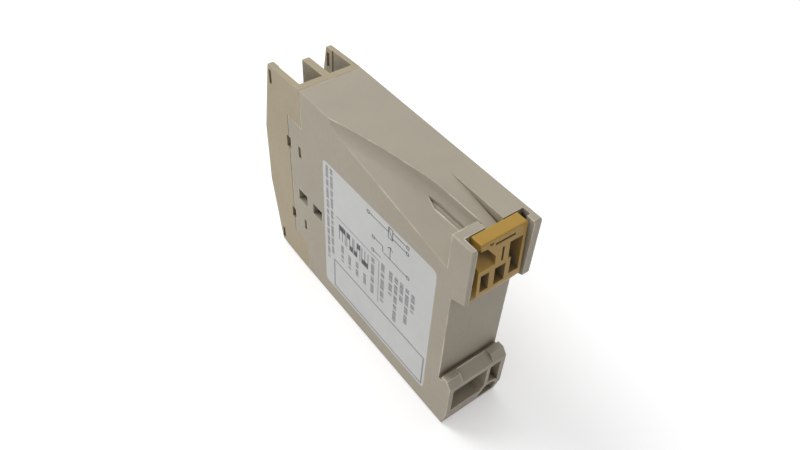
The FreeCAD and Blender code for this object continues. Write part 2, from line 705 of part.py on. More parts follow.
def rail_clip():
    front_y = SEAT_Y + SLIDE_GAP
    half = CLIP_WIDTH / 2
    nose_front = SEAT_Y + RAIL_THICKNESS + SLIDE_GAP
    nose_rear = nose_front + CLIP_NOSE_THICKNESS
    tip = RAIL_TOP - CLIP_NOSE_LAP
    outline = [
        (front_y, HEIGHT),
        (clip_face_y(HEIGHT), HEIGHT),
        (clip_face_y(CLIP_FACE_BOTTOM), CLIP_FACE_BOTTOM),
        (nose_rear, tip),
        (nose_front, tip),
        (nose_front, RAIL_TOP + SLIDE_GAP),
        (front_y, RAIL_TOP + SLIDE_GAP),
    ]
    body = prism_x(outline, -half, half)

    def top_edge(middle, span):
        return middle.z > HEIGHT - TINY

    body = rounded(body, CLIP_EDGE_ROUND, top_edge)
    body = without(body, clip_pockets()).translated(vec(CLIP_SHIFT, 0, 0))
    flange_x = GUARD_X + GUARD_GROOVE_DEPTH - SLIDE_GAP
    flange_top = HEIGHT - CLIP_FLANGE_DROP
    flange_y = SEAT_Y + GUARD_GROOVE_WIDTH - SLIDE_GAP
    flange = box(-flange_x, flange_x, front_y, flange_y, flange_top - CLIP_FLANGE_HEIGHT, flange_top)
    flange = flange.cut(box(CLIP_SHIFT - half, CLIP_SHIFT + half, front_y, REAR, 0, HEIGHT))
    nub_low = HEIGHT - CLIP_NUB_DROP
    nub_half = CLIP_NUB_WIDTH / 2
    nub = box(-nub_half, nub_half, SEAT_Y - CLIP_NUB_DEPTH, front_y, nub_low, nub_low + CLIP_NUB_HEIGHT)
    return joined([body, flange, nub])


# Front block

def front_y_at(z):
    """Front face: flat in the middle, sloping back to both ends."""
    return FRONT + FRONT_SLOPE * max(0.0, abs(z - MIDDLE) - FRONT_FLAT / 2)


def front_outline():
    tip = HEIGHT - FIN_TIP_DROP
    flat = FRONT_FLAT / 2
    wall_y = FRONT + TERMINAL_SEATS[0]
    back_y = END_SEAM_Y - SEAM_GAP
    tongue_y = TONGUE_Y - TONGUE_END_GAP
    return [
        (back_y, HEIGHT),
        (wall_y, HEIGHT),
        (front_y_at(tip), tip),
        (FRONT, MIDDLE + flat),
        (FRONT, MIDDLE - flat),
        (front_y_at(HEIGHT - tip), HEIGHT - tip),
        (wall_y, 0),
        (back_y, 0),
        (back_y, TONGUE_LOW - SEAM_GAP),
        (tongue_y, TONGUE_LOW - SEAM_GAP),
        (tongue_y, TONGUE_HIGH + SEAM_GAP),
        (back_y, TONGUE_HIGH + SEAM_GAP),
    ]


def bay(side):
    """Stepped terminal bay at the upper end, open to the end and the front."""
    outer_y = FRONT + TERMINAL_SEATS[0]
    inner_y = FRONT + TERMINAL_SEATS[1]
    shelf = HEIGHT - BAY_SHELF
    floor = HEIGHT - BAY_FLOOR
    out_y = FRONT - OVERCUT
    above = HEIGHT + OVERCUT
    outline = [(outer_y, above), (outer_y, shelf), (inner_y, shelf), (inner_y, floor), (out_y, floor),
               (out_y, above)]
    x0 = MIDDLE_FIN_THICKNESS / 2
    space = prism_x(outline, x0, FIN_X)
    strip_y = front_y_at(HEIGHT) + FIN_STRIP_LENGTH + (FAR_FIN_SETBACK if side < 0 else 0)
    strip = box(FIN_X - FIN_STRIP_EXTRA, FIN_X, out_y, strip_y, HEIGHT - FIN_STRIP_HEIGHT, above)
    space = space.cut(strip)
    if side < 0:
        space = space.mirror(vec(0, 0, 0), vec(1, 0, 0))
    return space


def fin_slots():
    """Slots through the side fins close behind their front edges."""
    top = HEIGHT - FIN_TIP_DROP - FIN_SLOT_DROP
    low = top - FIN_SLOT_HEIGHT
    y0 = front_y_at(top) + FIN_SLOT_INSET
    inner = FIN_X - FIN_STRIP_EXTRA
    outer = HALF_WIDTH + OVERCUT
    slots = []
    for x0, x1, setback in ((inner, outer, 0), (-outer, -inner, FAR_FIN_SETBACK)):
        slot_y = y0 + setback
        slots += both_ends(box(x0, x1, slot_y, slot_y + FIN_SLOT_LENGTH, low, top))
    return slots


def fin_setbacks():
    """What the far fins and the middle fins lack in front of the near fins."""
    floor = HEIGHT - BAY_FLOOR
    above = HEIGHT + OVERCUT
    out_y = FRONT - OVERCUT
    far_outline = [(out_y, floor), (front_y_at(floor) + FAR_FIN_SETBACK, floor),
                   (front_y_at(above) + FAR_FIN_SETBACK, above), (out_y, above)]
    far = prism_x(far_outline, -HALF_WIDTH, FIN_STRIP_EXTRA - FIN_X)
    half = MIDDLE_FIN_THICKNESS / 2
    middle = box(-half, half, out_y, FRONT + MIDDLE_FIN_SETBACK, floor, above)
    return both_ends(far) + both_ends(middle)


def terminal_places():
    """(side, level) of the terminals at one end."""
    return [(side, level) for side in (-1, 1) for level in (0, 1)]


def terminal_holes():
    """Holes behind each terminal for the screw tip, and slots for the bar's neck."""
    cuts = []
    for side, level in terminal_places():
        x = side * BAY_X
        seat = FRONT + TERMINAL_SEATS[level]
        z = HEIGHT - TERMINAL_SCREWS[level]
        hole = rod_y(x, z, SCREW_SHANK_RADIUS + SCREW_HOLE_GAP, seat, seat + 2 * BLOCK_WALL)
        floor = HEIGHT - BAY_STEPS[level]
        x0, x1 = bar_neck_span(side)
        neck = box(x0 - SEAM_GAP, x1 + SEAM_GAP, seat - BAR_THICKNESS - SEAM_GAP, seat + SEAM_GAP,
                   floor - 2 * BLOCK_WALL, floor)
        cuts += both_ends(hole) + both_ends(neck)
    return cuts


def spigot():
    """Collar behind the block that nests inside the case, with latch noses on its sides."""
    y0 = TONGUE_Y - 2 * SEAM_GAP - SPIGOT_WALL
    y1 = COLLAR_Y
    low = BAY_SHELF
    high = HEIGHT - BAY_SHELF
    collar = box(-SPIGOT_X, SPIGOT_X, y0, y1, low, high)
    noses = []
    for start, bottom in zip(LATCH_STARTS, LATCH_BOTTOMS):
        nose_y = FRONT + start + SEAM_GAP
        nose_x = HALF_WIDTH - LATCH_NOSE_SINK
        z0 = bottom + SEAM_GAP
        z1 = bottom + LATCH_HEIGHT - SEAM_GAP
        noses.append(box(-nose_x, nose_x, nose_y, nose_y + LATCH_LENGTH - 2 * SEAM_GAP, z0, z1))
    return [collar] + noses


def block_hollows():
    """Room for the control board behind the panel, and for the main board behind the terminals."""
    front_wall = FRONT_WALL_BACK_Y
    inner_seat = FRONT + TERMINAL_SEATS[1] + BLOCK_WALL
    rear = COLLAR_Y
    low = BAY_FLOOR + BLOCK_WALL
    shelf = BAY_SHELF + BLOCK_WALL
    front_room = box(-FIN_X, FIN_X, front_wall, inner_seat, low, HEIGHT - low)
    side = SPIGOT_X - SPIGOT_WALL
    rear_room = box(-side, side, inner_seat, rear, shelf, HEIGHT - shelf)
    return [front_room.fuse(rear_room)]


def panel_openings(y0, y1):
    """Holes for the dial hub, the selectors and the lamp lenses."""
    holes = [rod_y(0, DIAL_Z, DIAL_HUB_RADIUS + RUNNING_GAP, y0, y1)]
    for side in (-1, 1):
        holes.append(rod_y(side * SELECTOR_X, SELECTOR_Z, SELECTOR_RADIUS + RUNNING_GAP, y0, y1))
        holes.append(rod_y(side * LENS_X, LENS_Z, LENS_RADIUS + LENS_FIT, y0, y1))
    return holes


def board_posts():
    """Corner ledges between the front wall and the control board."""
    x0 = FIN_X - POST_SIZE
    low = BAY_FLOOR + BLOCK_WALL
    high = HEIGHT - low
    posts = []
    for x in (x0, -FIN_X):
        post = box(x, x + POST_SIZE, FRONT_WALL_BACK_Y, CONTROL_BOARD_Y, high - POST_SIZE, high)
        posts += both_ends(post)
    return posts


def front_block():
    body = prism_x(front_outline(), -HALF_WIDTH, HALF_WIDTH)

    def end_edge(middle, span):
        on_end = middle.z < TINY or middle.z > HEIGHT - TINY
        return along_y(span) and on_end

    body = rounded(body, EDGE_ROUND, end_edge)
    body = joined([body] + spigot())
    cuts = both_ends(bay(1)) + both_ends(bay(-1)) + fin_setbacks() + block_hollows()
    half = PANEL_WIDTH / 2
    tall = PANEL_HEIGHT / 2
    cuts.append(box(-half, half, FRONT - OVERCUT, PANEL_BACK_Y, MIDDLE - tall, MIDDLE + tall))
    body = without(body, cuts)
    body = joined([body] + board_posts())
    pry = []
    out = HALF_WIDTH + OVERCUT
    for low in LATCH_BOTTOMS:
        for x in (-out, INNER_X):
            pry.append(box(x, x + WALL + OVERCUT, TONGUE_Y - PRY_LENGTH, TONGUE_Y, low, low + LATCH_HEIGHT))
    window_y = FRONT + WINDOW_STARTS[0]
    window_top = WINDOW_BOTTOM + WINDOW_HEIGHT
    window = box(-out, out, window_y, window_y + WINDOW_LENGTH, WINDOW_BOTTOM, window_top)
    holes = fin_slots() + terminal_holes() + panel_openings(FRONT, FRONT_WALL_BACK_Y)
    return without(body, pry + holes + [window])


# Terminals

def bar_neck_span(side):
    """Where the bar's neck passes through the floor: against the main board, or midway in the near bay."""
    if side < 0:
        return BOARD_FACE_X, BOARD_FACE_X + BAR_NECK
    return BAY_X - BAR_NECK / 2, BAY_X + BAR_NECK / 2


def terminal_bar(side, level):
    """Strip from the terminal seat through the bay floor to the face of the main board, at the upper end."""
    seat = FRONT + TERMINAL_SEATS[level]
    y0 = seat - BAR_THICKNESS
    floor = HEIGHT - BAY_STEPS[level]
    screw_z = HEIGHT - TERMINAL_SCREWS[level]
    x = side * BAY_X
    plate = box(x - BAR_WIDTH / 2, x + BAR_WIDTH / 2, y0, seat, floor, screw_z + BAR_END_MARGIN)
    tail_low = floor - BLOCK_WALL - BAR_TAIL
    x0, x1 = bar_neck_span(side)
    pieces = [plate]
    if side < 0:
        pieces.append(box(x0, x1, y0, seat, tail_low, floor))
    else:
        arm_low = tail_low - BAR_STEP_DOWN
        pieces.append(box(x0, x1, y0, seat, arm_low, floor))
        pieces.append(box(BOARD_FACE_X, x1, y0, seat, arm_low, arm_low + BAR_NECK))
    hole = rod_y(x, screw_z, SCREW_SHANK_RADIUS + RUNNING_GAP, y0, seat)
    return without(joined(pieces), [hole])


def terminal_clamp(side, level):
    y1 = FRONT + TERMINAL_SEATS[level] - BAR_THICKNESS
    y0 = y1 - CLAMP_THICKNESS
    x = side * BAY_X
    z = HEIGHT - TERMINAL_SCREWS[level]
    half = CLAMP_SIZE / 2
    plate = box(x - half, x + half, y0, y1, z - half, z + half)
    plate = rounded(plate, CLAMP_THICKNESS / 2, lambda middle, span: along_x(span) and middle.y > y1 - TINY)
    return plate.cut(rod_y(x, z, SCREW_SHANK_RADIUS + RUNNING_GAP, y0, y1))


def terminal_screw(side, level):
    seat = FRONT + TERMINAL_SEATS[level]
    head_y = seat - BAR_THICKNESS - CLAMP_THICKNESS
    face_y = head_y - SCREW_HEAD_HEIGHT
    x = side * BAY_X
    z = HEIGHT - TERMINAL_SCREWS[level]
    head = rod_y(x, z, SCREW_HEAD_RADIUS, face_y, head_y)
    head = rounded(head, SCREW_SLOT_WIDTH / 2, lambda middle, span: middle.y < face_y + TINY)
    shank = rod_y(x, z, SCREW_SHANK_RADIUS, head_y - SCREW_SLOT_DEPTH, seat + SCREW_REACH)
    reach = SCREW_HEAD_RADIUS
    thin = SCREW_SLOT_WIDTH / 2
    depth_y = face_y + SCREW_SLOT_DEPTH
    slot = box(x - thin, x + thin, face_y, depth_y, z - reach, z + reach)
    cross = box(x - SCREW_HEAD_RADIUS / 2, x + SCREW_HEAD_RADIUS / 2, face_y, depth_y, z - thin, z + thin)
    return without(joined([head, shank]), [slot, cross])


def at_every_terminal(make):
    """Copies of one piece at all terminals of both ends."""
    pieces = []
    for side, level in terminal_places():
        pieces += both_ends(make(side, level))
    return group(pieces)


def terminal_bars():
    """One named strip for each terminal."""
    bars = {}
    for side, level in terminal_places():
        place = ("far", "near")[side > 0] + "_" + ("outer", "inner")[level]
        for end, shape in zip(("upper", "lower"), both_ends(terminal_bar(side, level))):
            bars["terminal_bar_" + end + "_" + place] = shape
    return bars


# Front panel and controls

def front_panel():
    half_x = PANEL_WIDTH / 2 - SEAM_GAP
    half_z = PANEL_HEIGHT / 2 - SEAM_GAP
    y0 = PANEL_BACK_Y - PANEL_THICKNESS
    plate = box(-half_x, half_x, y0, PANEL_BACK_Y, MIDDLE - half_z, MIDDLE + half_z)
    return without(plate, panel_openings(y0, PANEL_BACK_Y))


def time_dial():
    """Fluted setting knob with a screwdriver slot that points at the scale."""
    face_y = FRONT + DIAL_FACE_SINK
    back_y = PANEL_BACK_Y - PANEL_THICKNESS - DIAL_GAP
    disc = rod_y(0, DIAL_Z, DIAL_RADIUS, face_y, back_y)
    hub = rod_y(0, DIAL_Z, DIAL_HUB_RADIUS, face_y, FRONT_WALL_BACK_Y)
    cuts = []
    for index in range(DIAL_FLUTES):
        angle = 2 * math.pi * index / DIAL_FLUTES
        x = DIAL_RADIUS * math.sin(angle)
        z = DIAL_Z + DIAL_RADIUS * math.cos(angle)
        cuts.append(rod_y(x, z, DIAL_FLUTE_RADIUS, face_y, back_y))
    half = DIAL_SLOT_WIDTH / 2
    reach = DIAL_RADIUS - DIAL_SLOT_MARGIN
    slot = box(-half, half, face_y, face_y + DIAL_SLOT_DEPTH, DIAL_Z - reach, DIAL_Z + reach)
    return without(joined([disc, hub]), cuts + [slot])


def dial_shaft():
    """Shaft from the dial's hub into the potentiometer, with a driving flat."""
    y1 = CONTROL_BOARD_Y - RUNNING_GAP
    shaft = rod_y(0, DIAL_Z, DIAL_SHAFT_RADIUS, FRONT_WALL_BACK_Y, y1)
    flat = box(-WIDTH, WIDTH, FRONT_WALL_BACK_Y, y1, DIAL_Z + DIAL_SHAFT_FLAT, HEIGHT)
    return shaft.cut(flat)


def selector(side):
    """Screwdriver-set rotor with its stem in the switch."""
    x = side * SELECTOR_X
    face_y = FRONT + SELECTOR_FACE_SINK
    stem_end = CONTROL_BOARD_Y - RUNNING_GAP
    rotor = rod_y(x, SELECTOR_Z, SELECTOR_RADIUS, face_y, FRONT_WALL_BACK_Y)
    stem = rod_y(x, SELECTOR_Z, SELECTOR_STEM_RADIUS, face_y, stem_end)
    half = SELECTOR_SLOT_WIDTH / 2
    reach = SELECTOR_RADIUS - half
    floor_y = face_y + SELECTOR_SLOT_DEPTH
    slot = box(x - half, x + half, face_y, floor_y, SELECTOR_Z - reach, SELECTOR_Z + reach)
    return without(joined([rotor, stem]), [slot])


def lamp_lens(side):
    y0 = PANEL_BACK_Y - PANEL_THICKNESS - LENS_PROUD
    lens = rod_y(side * LENS_X, LENS_Z, LENS_RADIUS, y0, FRONT_WALL_BACK_Y)
    return rounded(lens, LENS_PROUD, lambda middle, span: middle.y < y0 + TINY)


# Circuit boards

def control_board():
    half_x = FIN_X - CONTROL_BOARD_MARGIN
    low = BAY_FLOOR + BLOCK_WALL + CONTROL_BOARD_MARGIN
    y1 = CONTROL_BOARD_Y + CONTROL_BOARD_THICKNESS
    plate = box(-half_x, half_x, CONTROL_BOARD_Y, y1, low, HEIGHT - low)
    holes = []
    for z in pin_heights():
        x0 = BOARD_FACE_X - RUNNING_GAP
        side = PIN_SIZE + 2 * RUNNING_GAP
        holes.append(box(x0, x0 + side, CONTROL_BOARD_Y, y1, z - side / 2, z + side / 2))
    return without(plate, holes)


def pin_heights():
    return [MIDDLE + PIN_PITCH * (index - (PIN_COUNT - 1) / 2) for index in range(PIN_COUNT)]


def board_pins():
    """Straight pins on the main board's tab that go through the control board."""
    y0 = CONTROL_BOARD_Y - PIN_PROUD
    y1 = BOARD_TAB_Y + PIN_OVERLAP
    half = PIN_SIZE / 2
    x1 = BOARD_FACE_X + PIN_SIZE
    return group([box(BOARD_FACE_X, x1, y0, y1, z - half, z + half) for z in pin_heights()])


def main_board():
    """Board on edge along the case, stepped in between the terminals towards the front."""
    neck_y = FRONT + TERMINAL_SEATS[1] + SCREW_REACH + BOARD_FRONT_GAP
    wide_y = COLLAR_Y + BOARD_FRONT_GAP
    neck_low = BAY_SHELF + 2 * BLOCK_WALL
    tab = BOARD_TAB_HEIGHT / 2
    outline = [
        (BOARD_REAR_Y, BOARD_BOTTOM),
        (BOARD_REAR_Y, MAIN_BOARD_TOP),
        (neck_y, MAIN_BOARD_TOP),
        (neck_y, MIDDLE + tab),
        (BOARD_TAB_Y, MIDDLE + tab),
        (BOARD_TAB_Y, MIDDLE - tab),
        (neck_y, MIDDLE - tab),
        (neck_y, neck_low),
        (wide_y, neck_low),
        (wide_y, BOARD_BOTTOM),
    ]
    return prism_x(outline, MAIN_BOARD_X, BOARD_FACE_X)


def dial_potentiometer():
    y0 = CONTROL_BOARD_Y - CONTROL_BODY_HEIGHT
    half = -(BOARD_FACE_X + PIN_SIZE + POTENTIOMETER_PIN_GAP)
    body = box(-half, half, y0, CONTROL_BOARD_Y, DIAL_Z - half, DIAL_Z + half)
    body = rounded(body, EDGE_ROUND, lambda middle, span: along_y(span))
    return body.cut(rod_y(0, DIAL_Z, DIAL_SHAFT_RADIUS + RUNNING_GAP, y0, CONTROL_BOARD_Y))


def selector_switch(side):
    x = side * SELECTOR_X
    y0 = CONTROL_BOARD_Y - CONTROL_BODY_HEIGHT
    half = SWITCH_SIZE / 2
    body = box(x - half, x + half, y0, CONTROL_BOARD_Y, SELECTOR_Z - half, SELECTOR_Z + half)
    body = rounded(body, EDGE_ROUND, lambda middle, span: along_y(span))
    return body.cut(rod_y(x, SELECTOR_Z, SELECTOR_STEM_RADIUS + RUNNING_GAP, y0, CONTROL_BOARD_Y))


def lamp(side):
    """Round-topped lamp on the control board, behind its lens."""
    x = side * LENS_X
    dome_y = FRONT_WALL_BACK_Y + RUNNING_GAP + LAMP_RADIUS
    stem = rod_y(x, LENS_Z, LAMP_RADIUS, dome_y, CONTROL_BOARD_Y)
    dome = Part.makeSphere(LAMP_RADIUS, vec(x, dome_y, LENS_Z))
    dome = dome.cut(box(-WIDTH, WIDTH, dome_y, REAR, 0, HEIGHT))
    return joined([stem, dome])


# Parts on the main board

def timer_chip():
    length, width, height = CHIP_SIZE
    y0 = COLLAR_Y + CHIP_FROM_COLLAR
    z0 = BOARD_BOTTOM + CHIP_FROM_BOTTOM
    x0 = BOARD_FACE_X + CHIP_STAND
    body = box(x0, x0 + height, y0, y0 + length, z0, z0 + width)
    pieces = [body]
    middle_y = y0 + length / 2
    leg_x = x0 + height / 2
    for index in range(CHIP_LEGS):
        y = middle_y + CHIP_LEG_PITCH * (index - (CHIP_LEGS - 1) / 2) - CHIP_LEG_SIZE / 2
        for z in (z0 - CHIP_LEG_SIZE, z0 + width):
            pieces.append(box(BOARD_FACE_X, leg_x, y, y + CHIP_LEG_SIZE, z, z + CHIP_LEG_SIZE))
    return joined(pieces)


def mains_capacitor():
    length, width, height = MAINS_CAPACITOR_SIZE
    y0 = COLLAR_Y + MAINS_CAPACITOR_FROM_COLLAR
    z1 = MAIN_BOARD_TOP - MAINS_CAPACITOR_FROM_TOP
    body = box(BOARD_FACE_X, BOARD_FACE_X + height, y0, y0 + length, z1 - width, z1)
    return rounded(body, EDGE_ROUND, lambda middle, span: middle.x > BOARD_FACE_X + TINY)


def can_capacitor(from_collar, from_bottom, radius, height):
    """Round can standing on the board, with the crimped groove near its foot."""
    y = COLLAR_Y + from_collar
    z = BOARD_BOTTOM + from_bottom
    can = rod_x(y, z, radius, BOARD_FACE_X, BOARD_FACE_X + height)
    can = rounded(can, CAN_GROOVE_RADIUS, lambda middle, span: middle.x > BOARD_FACE_X + height - TINY)
    ring_centre = vec(BOARD_FACE_X + CAN_GROOVE_HEIGHT, y, z)
    return can.cut(Part.makeTorus(radius, CAN_GROOVE_RADIUS, ring_centre, vec(1, 0, 0)))


def varistor():
    """Coated disc on two leads."""
    y = BOARD_REAR_Y - VARISTOR_FROM_REAR
    z = MAIN_BOARD_TOP - VARISTOR_FROM_TOP
    centre_x = BOARD_FACE_X + VARISTOR_STAND + VARISTOR_RADIUS
    half = VARISTOR_THICKNESS / 2
    disc = rod_z(centre_x, y, VARISTOR_RADIUS, z - half, z + half)
    disc = rounded(disc, half / 2, lambda middle, span: True)
    leads = []
    for side in (-1, 1):
        lead_y = y + side * VARISTOR_LEAD_SPAN / 2
        leads.append(rod_x(lead_y, z, LEAD_RADIUS, BOARD_FACE_X, centre_x))
    return joined([disc] + leads)


def bent_lead(x, y, z, side):
    """Wire that leaves a body's end along Z and bends down to the board."""
    foot_z = z + side * LEAD_REACH
    inset = LEAD_BEND * (1 - math.sqrt(0.5))
    start = vec(x, y, z)
    bend_start = vec(x, y, foot_z - side * LEAD_BEND)
    bend_middle = vec(x - inset, y, foot_z - side * inset)
    bend_end = vec(x - LEAD_BEND, y, foot_z)
    runs = [
        Part.LineSegment(start, bend_start).toShape(),
        Part.Arc(bend_start, bend_middle, bend_end).toShape(),
        Part.LineSegment(bend_end, vec(BOARD_FACE_X, y, foot_z)).toShape(),
    ]
    section = Part.Circle(start, vec(0, 0, 1), LEAD_RADIUS).toShape()
    return Part.Wire(runs).makePipeShell([Part.Wire([section])], True, True)


def axial_part(y, z, radius, length):
    """Round body lying above the board on its two bent leads."""
    x = BOARD_FACE_X + radius + LEAD_RADIUS
    half = length / 2
    body = rod_z(x, y, radius, z - half, z + half)
    body = rounded(body, radius / 3, lambda middle, span: True)
    return joined([body] + [bent_lead(x, y, z + side * half, side) for side in (-1, 1)])


def resistors():
    z = BOARD_BOTTOM + RESISTOR_FROM_BOTTOM
    row = []
    for index in range(RESISTOR_COUNT):
        y = BOARD_REAR_Y - RESISTOR_FROM_REAR - RESISTOR_PITCH * index
        row.append(axial_part(y, z, RESISTOR_RADIUS, RESISTOR_LENGTH))
    return group(row)


def diodes():
    z = MAIN_BOARD_TOP - DIODE_FROM_TOP
    row = []
    for index in range(DIODE_COUNT):
        y = BOARD_REAR_Y - DIODE_FROM_REAR - DIODE_PITCH * index
        row.append(axial_part(y, z, DIODE_RADIUS, DIODE_LENGTH))
    return group(row)


def transistor():
    """Half-round body on three legs."""
    y = BOARD_REAR_Y - TRANSISTOR_FROM_REAR
    z = BOARD_BOTTOM + TRANSISTOR_FROM_BOTTOM
    foot_x = BOARD_FACE_X + TRANSISTOR_STAND
    body = rod_x(y, z, TRANSISTOR_RADIUS, foot_x, foot_x + TRANSISTOR_HEIGHT)
    flat_y = y + TRANSISTOR_RADIUS / 2
    body = body.cut(box(BOARD_FACE_X, HALF_WIDTH, flat_y, REAR, 0, HEIGHT))
    legs = []
    for step in (-1, 0, 1):
        leg_z = z + step * TRANSISTOR_RADIUS / 2
        legs.append(rod_x(y, leg_z, LEAD_RADIUS, BOARD_FACE_X, foot_x + TRANSISTOR_HEIGHT / 2))
    return joined([body] + legs)


# Output relay, lying on the main board with its armature towards the front

RELAY_REAR_Y = BOARD_REAR_Y - RELAY_FROM_REAR
RELAY_FRONT_Y = RELAY_REAR_Y - RELAY_LENGTH
RELAY_Z = BOARD_BOTTOM + RELAY_FROM_BOTTOM + RELAY_WIDTH / 2
RELAY_DECK_X = BOARD_FACE_X + RELAY_BASE_THICKNESS
RELAY_CEILING_X = INNER_X - RELAY_TOP_GAP - RELAY_COVER_WALL
YOKE_TOP_X = RELAY_CEILING_X - RELAY_COVER_GAP - HINGE_SPRING_THICKNESS - HINGE_SPRING_PAD
YOKE_X = YOKE_TOP_X - IRON_THICKNESS
BOBBIN_HALF = (YOKE_X - RELAY_DECK_X - COIL_DECK_GAP) / 2
COIL_X = YOKE_X - BOBBIN_HALF
COIL_RADIUS = BOBBIN_HALF - COIL_MARGIN
CORE_RADIUS = COIL_RADIUS * CORE_SHARE
POLE_RADIUS = CORE_RADIUS + POLE_RIM
YOKE_REAR_Y = RELAY_REAR_Y - RELAY_COVER_WALL - RELAY_COVER_GAP
COIL_REAR_Y = YOKE_REAR_Y - IRON_THICKNESS - BOBBIN_FLANGE
COIL_FRONT_Y = COIL_REAR_Y - COIL_LENGTH
POLE_Y = COIL_FRONT_Y - BOBBIN_FLANGE - POLE_THICKNESS
PIVOT_Y = POLE_Y - ARMATURE_GAP
CARRIER_Y = PIVOT_Y - IRON_THICKNESS
SPRING_Y = CARRIER_Y - CARRIER_THICKNESS
ARMATURE_LOW_X = RELAY_DECK_X + ARMATURE_STAND
SPRING_TOP_X = ARMATURE_LOW_X + CONTACT_SPRING_LAP
SPRING_LOW_X = SPRING_TOP_X - CONTACT_SPRING_LENGTH
CONTACT_X = SPRING_LOW_X + RIVET_INSET
SPRING_FRONT_Y = SPRING_Y - CONTACT_SPRING_THICKNESS


def relay_base():
    half = RELAY_WIDTH / 2
    return box(BOARD_FACE_X, RELAY_DECK_X, RELAY_FRONT_Y, RELAY_REAR_Y, RELAY_Z - half, RELAY_Z + half)


def relay_bobbin():
    tube_radius = CORE_RADIUS + BOBBIN_TUBE_WALL
    tube = rod_y(COIL_X, RELAY_Z, tube_radius, COIL_FRONT_Y, COIL_REAR_Y)
    flanges = []
    for y in (COIL_FRONT_Y - BOBBIN_FLANGE, COIL_REAR_Y):
        z0 = RELAY_Z - BOBBIN_HALF
        flanges.append(box(RELAY_DECK_X, YOKE_X, y, y + BOBBIN_FLANGE, z0, RELAY_Z + BOBBIN_HALF))
    bore_front = COIL_FRONT_Y - BOBBIN_FLANGE
    bore = rod_y(COIL_X, RELAY_Z, CORE_RADIUS + RUNNING_GAP, bore_front, COIL_REAR_Y + BOBBIN_FLANGE)
    return without(joined([tube] + flanges), [bore])


def relay_coil():
    """Copper winding between the bobbin's flanges."""
    winding = rod_y(COIL_X, RELAY_Z, COIL_RADIUS, COIL_FRONT_Y, COIL_REAR_Y)
    inner = CORE_RADIUS + BOBBIN_TUBE_WALL + RUNNING_GAP
    return winding.cut(rod_y(COIL_X, RELAY_Z, inner, COIL_FRONT_Y, COIL_REAR_Y))


def relay_core():
    rod = rod_y(COIL_X, RELAY_Z, CORE_RADIUS, POLE_Y, YOKE_REAR_Y)
    pole = rod_y(COIL_X, RELAY_Z, POLE_RADIUS, POLE_Y, POLE_Y + POLE_THICKNESS)
    return joined([rod, pole])


def relay_yoke():
    """Iron angle: a leg behind the coil and a long arm over it, to the hinge."""
    leg_y = YOKE_REAR_Y - IRON_THICKNESS
    leg = box(COIL_X - POLE_RADIUS, YOKE_TOP_X, leg_y, YOKE_REAR_Y, RELAY_Z - YOKE_HALF, RELAY_Z + YOKE_HALF)
    arm = box(YOKE_X, YOKE_TOP_X, POLE_Y, YOKE_REAR_Y, RELAY_Z - YOKE_HALF, RELAY_Z + YOKE_HALF)
    hole = rod_y(COIL_X, RELAY_Z, CORE_RADIUS + RUNNING_GAP, leg_y, YOKE_REAR_Y)
    return without(joined([leg, arm]), [hole])


def swung_open(shape):
    """Turn a piece of the moving group from the pulled-in place to the released one."""
    turned = shape.copy()
    turned.rotate(vec(YOKE_TOP_X, PIVOT_Y, RELAY_Z), vec(0, 0, 1), ARMATURE_SWING)
    return turned


def relay_armature():
    z0 = RELAY_Z - YOKE_HALF
    plate = box(ARMATURE_LOW_X, YOKE_TOP_X, CARRIER_Y, PIVOT_Y, z0, RELAY_Z + YOKE_HALF)
    return swung_open(plate)


def contact_carrier():
    """Insulating block between the armature and the contact springs."""
    high = ARMATURE_LOW_X + CARRIER_HEIGHT
    block = box(ARMATURE_LOW_X, high, SPRING_Y, CARRIER_Y, RELAY_Z - CARRIER_HALF, RELAY_Z + CARRIER_HALF)
    return swung_open(block)


def moving_contacts():
    """Two leaf springs with a contact rivet through each."""
    springs = []
    half = CONTACT_SPRING_WIDTH / 2
    for side in (-1, 1):
        z = RELAY_Z + side * CONTACT_Z
        leaf = box(SPRING_LOW_X, SPRING_TOP_X, SPRING_FRONT_Y, SPRING_Y, z - half, z + half)
        rivet = rod_y(CONTACT_X, z, RIVET_RADIUS, SPRING_FRONT_Y - RIVET_HEIGHT, SPRING_Y + RIVET_HEIGHT)
        springs.append(swung_open(joined([leaf, rivet])))
    return group(springs)


def fixed_contacts(face_y, outward):
    """Two blades on the base, each with a rivet that faces the moving contact."""
    blades = []
    half = CONTACT_SPRING_WIDTH / 2
    top = CONTACT_X + RIVET_RADIUS
    rivet_y = face_y + outward * RIVET_HEIGHT
    blade_y = rivet_y + outward * CONTACT_BLADE
    for side in (-1, 1):
        z = RELAY_Z + side * CONTACT_Z
        blade = box(RELAY_DECK_X, top, min(rivet_y, blade_y), max(rivet_y, blade_y), z - half, z + half)
        rivet = rod_y(CONTACT_X, z, RIVET_RADIUS, min(face_y, rivet_y), max(face_y, rivet_y))
        blades.append(joined([blade, rivet]))
    return group(blades)


def make_contacts():
    """Fixed contacts that the springs meet when the armature is pulled in."""
    return fixed_contacts(SPRING_Y + RIVET_HEIGHT + CONTACT_GAP, 1)


def break_contacts():
    """Fixed contacts that the springs rest against when the armature is released."""
    swing = math.radians(ARMATURE_SWING)
    reach = CONTACT_X - RIVET_RADIUS - YOKE_TOP_X
    depth = SPRING_FRONT_Y - RIVET_HEIGHT - PIVOT_Y
    tip_y = PIVOT_Y + reach * math.sin(swing) + depth * math.cos(swing)
    return fixed_contacts(tip_y - CONTACT_GAP, -1)


